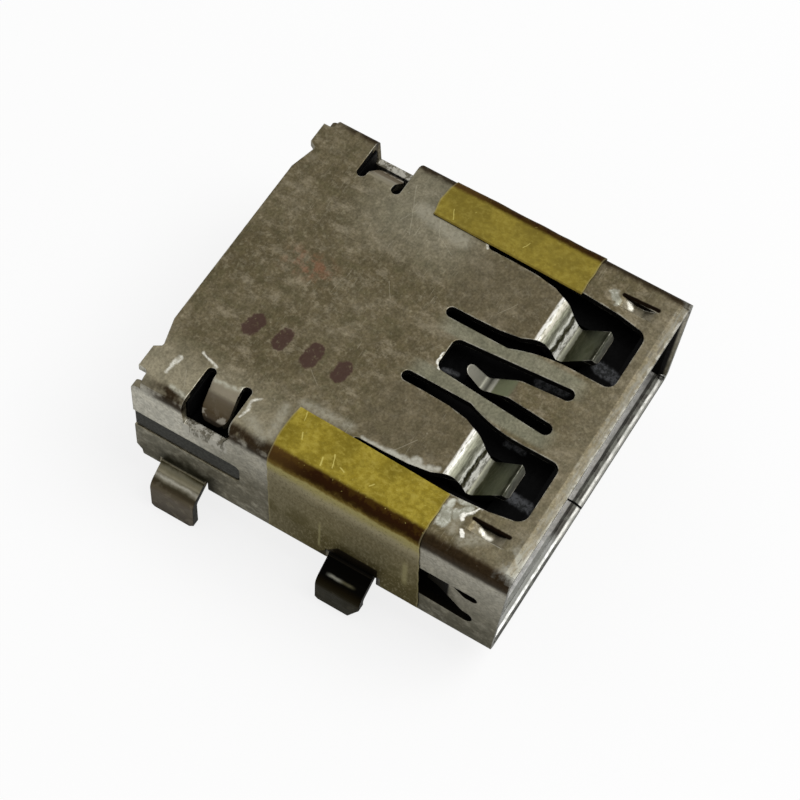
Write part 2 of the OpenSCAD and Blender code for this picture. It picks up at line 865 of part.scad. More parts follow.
module contact_3() {
    contact(contact_in);
}

module contact_4() {
    contact(contact_out);
}

// Channel for one contact: a groove under the tongue, a tunnel in the block, a groove behind it
module contact_channel() {
    w = contact_w + 2 * contact_gap;
    top = contact_top + contact_gap;
    // The groove stops short of the tongue's tip
    groove_y = tongue_tip_y + 0.45;
    pocket_h = max(0, tip_rise() - arm_fall()) + 0.12;
    pocket_back = contact_y + 0.2;
    tail_front = tail_y - contact_t / 2 - contact_gap;
    translate([-w / 2, groove_y, tongue_low - over])
        cube([w, rib_front - groove_y, over + top - tongue_low]);
    // The tip of the arm rises into a deeper pocket
    translate([-w / 2, groove_y, tongue_low - over])
        cube([w, pocket_back - groove_y, over + top + pocket_h - tongue_low]);
    translate([-w / 2, rib_front - skin, tongue_low])
        cube([w, shell_l, top - tongue_low]);
    translate([-w / 2, tail_front - bend_r, -shell_h - over])
        cube([w, shell_l, shell_h + over + top]);
}

// Hollow in the tongue that keeps clear of a spring's valley
module valley_hollow(x, y, half, drop) {
    l = 1.5;
    translate([x - half - hollow_gap, y - l / 2, -drop - sheet_t - hollow_gap])
        cube([2 * (half + hollow_gap), l, over]);
}

// Block, tongue and ribs before anything is cut out of them
module insert_blank() {
    block_x = inner_x - insert_gap;
    block_top = -sheet_t - insert_gap;
    block_low = -shell_h + sheet_t + insert_gap;
    block_back = shell_l - insert_back;
    // Chamfers on the upper and lower edge of the tongue's tip
    tip_up = 0.15;
    tip_low = 0.35;
    join = 0.5;
    rib_r = slot_r - rib_gap;
    rib_low = rib_low_gap - slot_h;
    translate([-block_x, 0, 0])
        rotate([90, 0, 90])
            linear_extrude(2 * block_x)
                polygon([
                    [rib_front, block_top],
                    [block_back - back_bevel[0], block_top],
                    [block_back, block_top - back_bevel[1]],
                    [block_back, block_low],
                    [rib_front, block_low]
                ]);
    translate([-tongue_w / 2, 0, tongue_top])
        rotate([90, 0, 90])
            linear_extrude(tongue_w)
                polygon([
                    [tongue_tip_y, -tip_up],
                    [tongue_tip_y + tip_up, 0],
                    [rib_front + join, 0],
                    [rib_front + join, -tongue_t],
                    [tongue_tip_y + tip_low, -tongue_t],
                    [tongue_tip_y, tip_low - tongue_t]
                ]);
    // Ribs that slide into the wall slots
    translate([-wall_x + insert_gap, 0, -slot_top])
        rotate([90, 0, 90])
            linear_extrude(shell_w - 2 * insert_gap)
                polygon(concat(
                    [[block_back, -rib_gap]],
                    arc([rib_front + slot_r, -slot_r], rib_r, 90, 180),
                    arc([rib_front + slot_r, rib_low + rib_r], rib_r, 180, 270),
                    [[block_back, rib_low]]
                ));
}

module housing() {
    // Room that a latch tab has round it in its pocket, and below its tip
    latch_room = 0.3;
    latch_floor = 0.45;
    // Room inside the wall and above the roots of the back legs
    leg_room = [0.35, 0.2];
    color([0.24, 0.24, 0.22])
        placed()
            difference() {
                insert_blank();
                for (x = [-contact_out, -contact_in, contact_in, contact_out])
                    translate([x, 0, 0])
                        contact_channel();
                for (x = [-spring_x, spring_x])
                    valley_hollow(punch_shift + x, spring_valley_y(), spring_flare[1][0], spring_drop);
                valley_hollow(punch_shift, finger_valley_y(), finger_root_half, finger_drop);
                // Pockets that the latch tabs spring into
                both_sides()
                    translate([
                        latch_root() - latch_room,
                        latch_mid() - latch_w / 2 - latch_room,
                        -latch_depth - latch_floor
                    ])
                        cube([latch_reach + over, latch_w + 2 * latch_room, latch_depth + over]);
                both_sides()
                    translate([
                        inner_x - leg_room[0],
                        leg_places()[1] - leg_w / 2 - leg_slit,
                        -shell_h
                    ])
                        cube([over, leg_w + 2 * leg_slit, leg_rise + leg_room[1]]);
            }
}

// Film over the top plate's edge, the fold and the wall, with a notch for the front leg
module tape_strip(y, reach) {
    top = tape_gap + tape_t;
    // The film ends just above the lower fold
    foot = fold_r + 0.02 - shell_h;
    // Room beside and above the leg
    leg_side = 0.05;
    leg_head = 0.22;
    notch_w = leg_w + 2 * (leg_slit + leg_side);
    notch_top = leg_rise - shell_h + leg_head;
    difference() {
        along(y, y + tape_w)
            polygon(concat(
                [[wall_x - reach, top]],
                arc([wall_x - fold_r, -fold_r], fold_r + top, 90, 0),
                [[wall_x + top, foot]],
                [[wall_x + tape_gap, foot]],
                arc([wall_x - fold_r, -fold_r], fold_r + tape_gap, 0, 90),
                [[wall_x - reach, tape_gap]]
            ));
        translate([wall_x - over, leg_places()[0] - notch_w / 2, -shell_h - over])
            cube([2 * over, notch_w, notch_top + shell_h + over]);
    }
}

module tape_right() {
    color([0.55, 0.48, 0.16])
        placed()
            tape_strip(tape_right_y, tape_right_reach);
}

module tape_left() {
    color([0.55, 0.48, 0.16])
        placed()
            mirror([1, 0, 0])
                tape_strip(tape_left_y, tape_left_reach);
}

shell();
housing();
contact_1();
contact_2();
contact_3();
contact_4();
tape_left();
tape_right();
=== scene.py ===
import bpy, bmesh, math
from mathutils import Matrix, Vector


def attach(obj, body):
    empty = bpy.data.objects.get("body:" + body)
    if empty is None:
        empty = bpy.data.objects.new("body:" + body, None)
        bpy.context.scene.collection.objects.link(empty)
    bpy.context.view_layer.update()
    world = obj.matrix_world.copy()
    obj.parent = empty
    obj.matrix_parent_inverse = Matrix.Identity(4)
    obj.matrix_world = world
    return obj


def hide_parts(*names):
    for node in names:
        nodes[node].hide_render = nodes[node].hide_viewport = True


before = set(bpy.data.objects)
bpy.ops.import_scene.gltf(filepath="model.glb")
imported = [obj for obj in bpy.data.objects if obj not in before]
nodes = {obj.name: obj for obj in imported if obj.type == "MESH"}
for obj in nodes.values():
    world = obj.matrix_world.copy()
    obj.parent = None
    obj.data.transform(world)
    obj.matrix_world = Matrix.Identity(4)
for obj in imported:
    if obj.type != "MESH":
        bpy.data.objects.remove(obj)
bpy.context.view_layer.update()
mm = 0.001

# The connector's own frame: y runs from the mouth to the back, z down from the top plate
shellLong, plateHigh = 15.0, 7.1


def place(x, y, z):
    return Vector((x, y - shellLong / 2, z + plateHigh)) * mm


# the camera, at the photograph's angle; its focal length is in pixels
shot = {
    "sensor": 36,
    "focal": 2541.5,
    "pixels": 800,
    "clip": (0.005, 5),
    "at": (-40.166, -20.427, 82.771),
    "right": (0.5173, -0.855, 0.0364),
    "back": (-0.4351, -0.2261, 0.8715),
}
camData = bpy.data.cameras.new("photoCamera")
camData.sensor_width = shot["sensor"]
camData.lens = shot["focal"] * shot["sensor"] / shot["pixels"]
camData.clip_start, camData.clip_end = shot["clip"]
photoCamera = bpy.data.objects.new("photoCamera", camData)
bpy.context.scene.collection.objects.link(photoCamera)
camRight = Vector(shot["right"]).normalized()
camBack = Vector(shot["back"]).normalized()
camUp = camBack.cross(camRight).normalized()
camRight = camUp.cross(camBack)
turn = Matrix((camRight, camUp, camBack)).transposed().to_4x4()
photoCamera.matrix_world = Matrix.Translation(Vector(shot["at"]) * mm) @ turn
bpy.context.scene.camera = photoCamera
bpy.context.scene.view_settings.view_transform = "Standard"
print("camera set")


def tone(r, g, b):
    # a colour written as it shows on the screen, 0 to 255
    def line(v):
        v /= 255.0
        return v / 12.92 if v <= 0.04045 else ((v + 0.055) / 1.055) ** 2.4
    return (line(r), line(g), line(b), 1.0)


# small helpers for the node trees
class Tree:
    # one material's nodes, with short ways to add and join them; looks is the piece's dictionary
    def __init__(self, name, looks):
        self.looks = looks
        self.mat = bpy.data.materials.new(name)
        self.mat.use_nodes = True
        self.t = self.mat.node_tree
        self.t.nodes.clear()
        self.out = self.add("OutputMaterial")
        self.shader = self.add("BsdfPrincipled")
        self.t.links.new(self.shader.outputs[0], self.out.inputs[0])
        tc = self.add("TexCoord")
        # object coordinates in millimetres, in the connector's own frame
        self.pos = self.vec("MULTIPLY_ADD", tc.outputs["Object"], (1 / mm, 1 / mm, 1 / mm),
                            (0, shellLong / 2, -plateHigh))
        self.x, self.y, self.z = self.split(self.pos)
        self.wide = self.size(self.x)
        geo = self.add("NewGeometry")
        self.nx, self.ny, self.nz = self.split(geo.outputs["True Normal"])

    def add(self, kind):
        return self.t.nodes.new("ShaderNode" + kind)

    def put(self, socket, value):
        if hasattr(value, "links"):
            self.t.links.new(value, socket)
        else:
            socket.default_value = value

    def split(self, vector):
        n = self.add("SeparateXYZ")
        self.t.links.new(vector, n.inputs[0])
        return n.outputs

    def vec(self, op, a, b, c=None, out="Vector"):
        n = self.add("VectorMath")
        n.operation = op
        self.put(n.inputs[0], a)
        self.put(n.inputs[1], b)
        if c is not None:
            self.put(n.inputs[2], c)
        return n.outputs[out]

    def math(self, op, a, b=0.0, c=0.0):
        n = self.add("Math")
        n.operation = op
        self.put(n.inputs[0], a)
        self.put(n.inputs[1], b)
        self.put(n.inputs[2], c)
        return n.outputs[0]

    def size(self, value):
        return self.math("ABSOLUTE", value)

    def most(self, a, b):
        return self.math("MAXIMUM", a, b)

    def all(self, *masks):
        m = masks[0]
        for k in masks[1:]:
            m = self.math("MULTIPLY", m, k)
        return m

    def centred(self, value):
        return self.math("SUBTRACT", value, 0.5)

    def drift(self, value, by, share):
        # value moved by a share of another value
        return self.math("ADD", value, self.math("MULTIPLY", by, share))

    def step(self, value, low, high):
        # smooth 0 to 1 as value goes from low to high
        # the clamp stays off here and in ramp, or the steel overfills the renderer's stack
        n = self.add("MapRange")
        n.interpolation_type = "SMOOTHSTEP"
        n.clamp = False
        self.put(n.inputs["Value"], value)
        if low < high:
            self.put(n.inputs["From Min"], low)
            self.put(n.inputs["From Max"], high)
        else:
            self.put(n.inputs["From Min"], high)
            self.put(n.inputs["From Max"], low)
            self.put(n.inputs["To Min"], 1.0)
            self.put(n.inputs["To Max"], 0.0)
        return n.outputs["Result"]

    def band(self, value, low, high, soft):
        up = self.step(value, low - soft, low + soft)
        down = self.step(value, high + soft, high - soft)
        return self.all(up, down)

    def noise(self, size, detail=3.0, rough=0.55, stretch=(1, 1, 1), twist=0.0, move=(0, 0, 0)):
        # size is the grain in millimetres
        m = self.add("Mapping")
        m.inputs["Location"].default_value = move
        m.inputs["Rotation"].default_value = (0, 0, math.radians(twist))
        m.inputs["Scale"].default_value = stretch
        self.t.links.new(self.pos, m.inputs["Vector"])
        n = self.add("TexNoise")
        n.inputs["Scale"].default_value = 1.0 / size
        n.inputs["Detail"].default_value = detail
        n.inputs["Roughness"].default_value = rough
        self.t.links.new(m.outputs[0], n.inputs["Vector"])
        return n.outputs["Fac"]

    def mix(self, fac, a, b, mode="MIX"):
        n = self.add("Mix")
        n.data_type = "RGBA"
        n.blend_type = mode
        self.put(n.inputs["Factor"], fac)
        self.put(n.inputs[6], a)
        self.put(n.inputs[7], b)
        return n.outputs[2]

    def blendValue(self, fac, a, b):
        n = self.add("Mix")
        self.put(n.inputs["Factor"], fac)
        self.put(n.inputs[2], a)
        self.put(n.inputs[3], b)
        return n.outputs[0]

    def shade(self, name):
        return tone(*self.looks[name])

    def paint(self, col, mask, name, share=1.0):
        # the named tone laid over col where the mask is
        if share < 1:
            mask = self.math("MULTIPLY", mask, share)
        return self.mix(mask, col, self.shade(name))

    def ramp(self, value, low, high, name):
        # the named row of tones along value, each stop given as (value, tone)
        stops = self.looks[name]
        m = self.add("MapRange")
        m.clamp = False
        self.put(m.inputs["Value"], value)
        self.put(m.inputs["From Min"], low)
        self.put(m.inputs["From Max"], high)
        n = self.add("ValToRGB")
        e = n.color_ramp.elements
        while len(e) < len(stops):
            e.new(0.5)
        for k, (at, rgb) in enumerate(stops):
            e[k].position = (at - low) / (high - low)
            e[k].color = tone(*rgb)
        self.t.links.new(m.outputs["Result"], n.inputs["Fac"])
        return n.outputs["Color"]

    def plan(self, wobble, size):
        # the position seen from above, with uneven edges for whatever is drawn on it
        off = [self.centred(self.noise(size, 2.0, move=(1 + 7 * k, 4, 6))) for k in (0, 1)]
        off = [self.math("MULTIPLY", v, wobble) for v in off]
        c = self.add("CombineXYZ")
        self.put(c.inputs[0], off[0])
        self.put(c.inputs[1], off[1])
        return self.vec("MULTIPLY_ADD", self.pos, (1, 1, 0), c.outputs[0])

    def strokes(self, plane, marks, soft):
        # each mark is a line (x0, y0, x1, y1) with its half width, in millimetres
        total = None
        for x0, y0, x1, y1, half in marks:
            dx, dy = x1 - x0, y1 - y0
            span = dx * dx + dy * dy
            rel = self.vec("SUBTRACT", plane, (x0, y0, 0))
            along = self.vec("DOT_PRODUCT", rel, (dx / span, dy / span, 0), out="Value")
            along = self.math("MINIMUM", self.most(along, 0.0), 1.0)
            foot = self.add("VectorMath")
            foot.operation = "SCALE"
            self.put(foot.inputs[0], (dx, dy, 0))
            self.put(foot.inputs["Scale"], along)
            gap = self.vec("DISTANCE", rel, foot.outputs[0], out="Value")
            m = self.step(gap, half + soft, max(half - soft, 0.0))
            total = m if total is None else self.most(total, m)
        return total

    def bump(self, height, distance, strength, normal=None):
        # distance in millimetres
        n = self.add("Bump")
        n.inputs["Strength"].default_value = strength
        n.inputs["Distance"].default_value = distance * mm
        self.put(n.inputs["Height"], height)
        if normal is not None:
            self.put(n.inputs["Normal"], normal)
        return n.outputs[0]

    def rounding(self, radius):
        # softened corner normals; radius in millimetres
        n = self.add("Bevel")
        n.samples = 8
        n.inputs["Radius"].default_value = radius * mm
        return n.outputs[0]

    def edges(self, radius):
        # 1 near a sharp corner, 0 on the flat
        geo = self.add("NewGeometry")
        alike = self.vec("DOT_PRODUCT", self.rounding(radius), geo.outputs["True Normal"], out="Value")
        return self.step(alike, 0.97, 0.8)


# the shell's dull plated steel
steel = {
    # the top plate
    "plate": (105, 97, 78), "plateDark": (85, 77, 58), "plateLight": (126, 120, 100),
    "mottleDark": (82, 76, 54), "smearLight": (128, 120, 102), "smearDark": (82, 77, 56),
    "nearEdge": (142, 136, 117), "farBack": (130, 127, 112), "front": (116, 110, 94),
    "flats": (86, 79, 63), "strips": (116, 117, 102), "smudge": (124, 74, 58), "ink": (66, 48, 44),
    # the side walls, the bottom and the folds
    "wall": [(-5.6, (76, 73, 62)), (-4.6, (80, 77, 65)), (-3.3, (108, 105, 93)),
             (-1.6, (142, 139, 128)), (-0.7, (156, 153, 143))],
    "wallGrey": (92, 88, 75), "wallBack": (186, 184, 174), "wallCloud": (158, 155, 142),
    "wallMottle": (78, 74, 60), "wallSmear": (160, 157, 145), "hollowShade": (32, 30, 20),
    "under": (132, 129, 119), "foldShade": (40, 30, 18), "inner": (14, 13, 11),
    # springs, finger and latch tabs
    "spring": [(1.76, (76, 76, 69)), (1.83, (94, 95, 85)), (1.89, (60, 62, 50)), (1.97, (31, 32, 20)),
               (2.07, (76, 78, 64)), (2.25, (88, 91, 74)), (2.54, (76, 79, 63)), (2.7, (62, 64, 48)),
               (2.83, (53, 55, 40)), (2.93, (66, 66, 50)), (2.98, (126, 126, 112)),
               (3.09, (112, 112, 98)), (3.16, (124, 123, 112)), (3.20, (235, 234, 224)),
               (3.29, (252, 251, 242)), (3.325, (60, 58, 42)), (3.405, (38, 38, 20)),
               (3.43, (240, 240, 228)), (3.47, (246, 246, 234)), (3.51, (176, 176, 160)),
               (3.57, (150, 150, 132)), (3.66, (160, 161, 140)), (3.76, (134, 134, 118)),
               (3.83, (146, 146, 134)), (3.88, (196, 195, 187)), (3.98, (206, 204, 198)),
               (4.05, (150, 144, 128))],
    "springFar": (172, 168, 155), "springStreak": (112, 110, 94), "springGreen": (58, 59, 40),
    "finger": [(3.5, (92, 88, 72)), (3.8, (110, 114, 88)), (4.3, (118, 121, 94)),
               (4.38, (196, 194, 180)), (4.48, (178, 176, 162)), (4.56, (112, 111, 100)),
               (5.4, (122, 120, 109))],
    "tab": [(-1.2, (26, 20, 15)), (-1.06, (44, 38, 30)), (-1.0, (80, 70, 56)), (-0.85, (84, 72, 53)),
            (-0.7, (98, 87, 69)), (-0.5, (104, 94, 76)), (-0.4, (112, 102, 86)),
            (-0.33, (136, 128, 109)), (-0.2, (140, 132, 114)), (-0.05, (134, 127, 108))],
    "tabCloud": (128, 120, 106), "tabGlint": (184, 178, 163),
    "sillDark": (98, 94, 82), "sillLight": (172, 169, 158),
    # legs and side windows
    "backLeg": [(-7.0, (60, 53, 44)), (-6.6, (72, 65, 56)), (-6.15, (82, 75, 64)), (-5.7, (84, 76, 65)),
                (-5.55, (80, 73, 59)), (-5.45, (72, 64, 49)), (-5.37, (64, 56, 41)),
                (-5.32, (72, 66, 50)), (-5.27, (130, 124, 107)), (-5.22, (198, 194, 178)),
                (-5.17, (136, 130, 110)), (-5.08, (106, 101, 82)), (-5.02, (98, 94, 78)),
                (-4.96, (50, 46, 30)), (-4.9, (24, 22, 9))],
    "frontLeg": [(-6.9, (30, 27, 17)), (-6.1, (28, 25, 15)), (-5.72, (28, 24, 13)), (-5.5, (20, 16, 7)),
                 (-5.4, (14, 10, 3)), (-5.33, (6, 5, 3)), (-4.8, (2, 2, 2))],
    "backLegWorn": (112, 105, 90), "frontLegWorn": (60, 55, 42), "glintNear": (96, 92, 70),
    "glintFar": (156, 155, 142), "legShade": (10, 8, 6), "window": (22, 20, 15),
    # the lower lip at the mouth, near and far, with painted highlights and painted shade
    "lipNearLightShade": [(0.32, (58, 58, 56)), (0.385, (66, 66, 63)), (0.405, (196, 196, 192)),
                (0.465, (188, 188, 184)), (0.49, (98, 98, 95)), (0.56, (110, 110, 107)),
                (0.61, (96, 96, 92)), (0.63, (178, 179, 173)), (0.735, (180, 181, 175)),
                (0.76, (250, 250, 246)), (0.9, (236, 235, 230))],
    "lipFarLightShade": [(0.32, (104, 103, 99)), (0.37, (120, 119, 114)), (0.40, (178, 177, 171)),
               (0.455, (176, 175, 169)), (0.485, (70, 68, 64)), (0.51, (50, 49, 45)),
               (0.57, (64, 62, 58)), (0.61, (46, 44, 40)), (0.64, (82, 80, 75)), (0.70, (84, 82, 77)),
               (0.735, (210, 208, 202)), (0.9, (232, 230, 224))],
    "lipCloud": (112, 113, 105),
    # marks, painted glints and shadows, the front edge and the rims
    "soft": (146, 142, 126), "pale": (168, 166, 150), "glareFlakeDim": (146, 146, 132),
    "glareFlakeBright": (190, 191, 179), "worn": (164, 162, 150), "white": (208, 206, 194),
    "glintAndBurr": (228, 226, 216), "scratch": (176, 171, 152), "rubbed": (116, 115, 107),
    "corner": (140, 141, 133), "rubbedDark": (88, 84, 75), "frontLine": (160, 159, 152),
    "cutDark": (84, 83, 77), "cutLight": (142, 142, 136), "rim": (188, 185, 172),
    "lance": (222, 219, 206), "slit": (14, 8, 4),
    # what the tones are multiplied with, dark and light
    "fineRange": ((0.82, 0.81, 0.79, 1), (1.18, 1.18, 1.16, 1)),
    "broadRange": ((0.88, 0.88, 0.87, 1), (1.12, 1.11, 1.10, 1)),
    # in the open, then where it's dark or matte
    "metallic": (0.85, 0.2),
    "specular": 0.03,
    "specularTint": (0.6, 0.6, 0.58, 1),
    "roughness": 0.42,
    "bump": (0.012, 0.6),
    # the slots' middle line lies a little off the shell's
    "shift": 0.09,
}

# marks on the top plate, in its own plane: (x, y) to (x, y) and half width
topMarks = {
    "white": [(-5.72, 14.06, -5.50, 14.03, 0.05), (-5.40, 14.03, -4.98, 13.96, 0.09),
              (-4.40, 13.40, -4.52, 13.10, 0.03), (-4.52, 13.10, -4.66, 12.7, 0.03),
              (-4.87, 10.72, -5.10, 10.95, 0.03), (-5.10, 10.95, -5.50, 10.88, 0.05),
              (-5.50, 10.88, -5.85, 10.98, 0.03), (5.22, 1.91, 5.05, 1.88, 0.05),
              (4.66, 7.36, 4.56, 7.28, 0.03)],
    "glintAndBurr": [(-5.18, 2.60, -5.0, 2.64, 0.07), (-4.96, 2.60, -4.80, 2.45, 0.04),
               (-4.78, 2.42, -4.46, 2.27, 0.03), (-4.47, 2.25, -4.44, 2.40, 0.06),
               (-5.52, 2.40, -5.68, 2.30, 0.07), (-0.42, 6.40, 0.01, 6.40, 0.03),
               (-0.60, 6.20, -0.44, 6.38, 0.03)],
    "glareFlake": [(-4.8, 3.22, -5.15, 3.2, 0.14), (-5.15, 3.2, -5.6, 3.12, 0.2), (-4.75, 2.6, -5.1, 2.85, 0.16),
              (-4.45, 2.5, -4.6, 3.0, 0.1), (5.38, 2.6, 5.07, 2.3, 0.12)],
    "pale": [(-5.08, 12.45, -5.0, 11.6, 0.05), (-5.0, 11.6, -4.84, 11.44, 0.05),
             (5.08, 1.8, 5.16, 1.4, 0.09), (-6.1, 13.6, -6.2, 13.0, 0.08)],
    "soft": [(-5.75, 10.6, -6.1, 9.9, 0.18), (-4.7, 9.85, -5.9, 9.7, 0.12), (-4.25, 9.4, -4.2, 7.6, 0.14),
             (4.7, 10.0, 4.35, 8.2, 0.32), (-5.4, 1.6, -5.85, 2.2, 0.2), (-5.3, 2.7, -5.7, 2.7, 0.12)],
    "worn": [(-4.33, 7.0, -4.30, 6.0, 0.06), (-4.30, 6.0, -4.27, 5.3, 0.12), (-4.27, 5.3, -4.2, 4.5, 0.12),
             (-4.13, 4.55, -4.0, 4.25, 0.1), (-4.1, 5.05, -4.1, 4.95, 0.16)],
    "line": [(5.51, 10.78, 3.54, 9.90, 0.010), (4.6, 10.2, 3.9, 10.5, 0.008), (4.9, 9.4, 3.9, 8.9, 0.008),
             (-5.9, 13.2, -5.3, 13.5, 0.012), (-4.2, 5.9, -3.4, 5.4, 0.012), (2.4, 5.6, 3.1, 5.2, 0.008),
             (3.6, 8.2, 4.1, 9.0, 0.008), (0.9, 9.1, 1.5, 9.5, 0.008), (-3.4, 9.4, -3.0, 9.9, 0.008)],
    "slit": [(-4.93, 2.27, -4.92, 0.9, 0.075), (5.46, 2.22, 5.52, 0.9, 0.085)],
    "lance": [(-5.13, 1.86, -5.22, 1.5, 0.08), (5.33, 1.92, 5.22, 1.84, 0.1)],
    "ink": [(-2.72, 12.6, -2.32, 12.5, 0.3), (-2.7, 11.4, -2.3, 11.35, 0.28),
            (-2.75, 10.2, -2.25, 10.15, 0.3), (-2.7, 9.0, -2.3, 8.95, 0.28)],
}


def fromMiddle(s):
    # distance from the middle line of the springs and slots
    return s.size(s.math("SUBTRACT", s.x, steel["shift"]))


def steelBase(s, cloud, warp):
    # plate, walls and painted brown shade along the folds
    patch = s.noise(2.6, 2.0, 0.5)
    mottle = s.noise(0.16, 3.0, 0.65, move=(5, 0, 3))
    smear = s.noise(0.55, 5.0, 0.72, stretch=(1, 0.6, 1), twist=30, move=(1, 6, 2))
    col = s.paint(s.shade("plateDark"), s.step(patch, 0.34, 0.62), "plate", 0.55)
    col = s.paint(col, s.step(mottle, 0.5, 0.7), "plateLight", 0.5)
    col = s.paint(col, s.step(mottle, 0.5, 0.3), "mottleDark", 0.5)
    col = s.paint(col, s.step(smear, 0.5, 0.66), "smearLight", 0.6)
    col = s.paint(col, s.step(smear, 0.5, 0.36), "smearDark", 0.6)
    # lighter toward the back corner and along the near edge
    nearEdge = s.all(s.step(s.x, -3.6, -5.8), s.step(s.y, 6.5, 12.5))
    col = s.paint(col, nearEdge, "nearEdge", 0.7)
    farBack = s.all(s.step(s.x, 1.5, 4.5), s.band(s.y, 7.5, 12.0, 1.5))
    col = s.paint(col, farBack, "farBack", 0.45)
    col = s.paint(col, s.step(s.y, 2.2, 0.6), "front", 0.3)
    # darker flats beside the slots and green-grey strips between them
    off = fromMiddle(s)
    flats = s.all(s.band(off, 1.85, 4.3, 0.15), s.band(s.y, 4.05, 7.6, 0.5))
    col = s.paint(col, flats, "flats", 0.5)
    strips = s.all(s.band(off, 0.7, 1.55, 0.1), s.band(s.y, 1.6, 7.0, 0.4))
    col = s.paint(col, strips, "strips", 0.6)

    # side walls are greyer, with painted light above and painted shade below
    side = s.step(s.size(s.nx), 0.75, 0.97)
    wallCol = s.ramp(s.drift(s.z, warp, 0.8), -5.6, 0.0, "wall")
    # greyer toward the tape, lighter at the very back
    grey = s.all(s.band(s.y, 8.5, 12.0, 1.0), s.step(s.z, -1.6, -3.4))
    wallCol = s.paint(wallCol, grey, "wallGrey")
    paleBack = s.all(s.step(s.y, 10.5, 13.0), s.step(s.z, -3.4, -2.0))
    wallCol = s.paint(wallCol, paleBack, "wallBack", 0.85)
    wallCol = s.paint(wallCol, s.step(cloud, 0.48, 0.75), "wallCloud", 0.35)
    wallCol = s.paint(wallCol, s.step(mottle, 0.48, 0.25), "wallMottle", 0.4)
    wallCol = s.paint(wallCol, s.step(smear, 0.5, 0.66), "wallSmear", 0.3)
    # painted shadow in the hollow above each back leg
    hollowShade = s.all(s.band(s.math("ADD", s.y, warp), 11.6, 14.1, 0.45), s.step(s.z, -3.7, -4.75))
    wallCol = s.paint(wallCol, hollowShade, "hollowShade", 0.85)
    col = s.mix(side, col, wallCol)
    col = s.paint(col, s.all(s.step(s.nz, -0.5, -0.9), s.step(s.z, -5.3, -5.5)), "under")

    # painted brown shade along the long folds, strongest toward the mouth
    foldDown = s.drift(s.z, warp, 0.5)
    reach = s.drift(s.wide, warp, 0.6)
    onFold = s.all(s.step(foldDown, -0.78, -0.42), s.step(reach, 6.02, 6.32))
    strength = s.most(s.step(s.y, 4.2, 3.4),
                      s.all(s.step(s.y, 14.9, 13.6), s.step(s.noise(0.7, 3.0), 0.25, 0.5)))
    strength = s.all(s.most(strength, 0.35), 0.97)
    return s.paint(col, s.all(onFold, strength), "foldShade")


def steelInside(s, col, cloud, warp):
    # painted shade on what faces into the shell, but for the lower lip
    insideWall = s.all(s.step(s.wide, 6.34, 6.3), s.step(s.size(s.nx), 0.5, 0.7),
                       s.step(s.z, -0.28, -0.34))
    below = s.all(s.step(s.nz, -0.2, -0.4), s.band(s.z, -1.9, -0.25, 0.02), s.step(s.wide, 6.34, 6.3))
    floorIn = s.all(s.step(s.nz, 0.5, 0.7), s.band(s.z, -5.45, -5.15, 0.02), s.step(s.y, 0.8, 1.1))
    cutFace = s.all(s.step(s.size(s.nz), 0.6, 0.3), s.band(s.z, -0.31, -0.03, 0.01),
                    s.step(s.wide, 6.05, 5.95), s.step(s.y, 0.5, 0.6), s.step(s.y, 14.5, 14.4))
    insideShade = s.most(s.most(insideWall, below), s.most(floorIn, cutFace))
    col = s.paint(col, insideShade, "inner")
    # the lower lip gets painted highlights along its lead-in and edge, and painted shade in the gap behind
    lip = s.all(s.step(s.nz, 0.3, 0.6), s.band(s.z, -5.55, -5.15, 0.02), s.step(s.y, 1.0, 0.9))
    lipAt = s.drift(s.y, warp, 0.08)
    lipCol = s.mix(s.step(s.x, -1.9, -1.3), s.ramp(lipAt, 0.3, 0.9, "lipNearLightShade"),
                   s.ramp(lipAt, 0.3, 0.9, "lipFarLightShade"))
    lipCol = s.paint(lipCol, s.step(cloud, 0.44, 0.62), "lipCloud", 0.4)
    return s.mix(lip, col, lipCol), insideShade


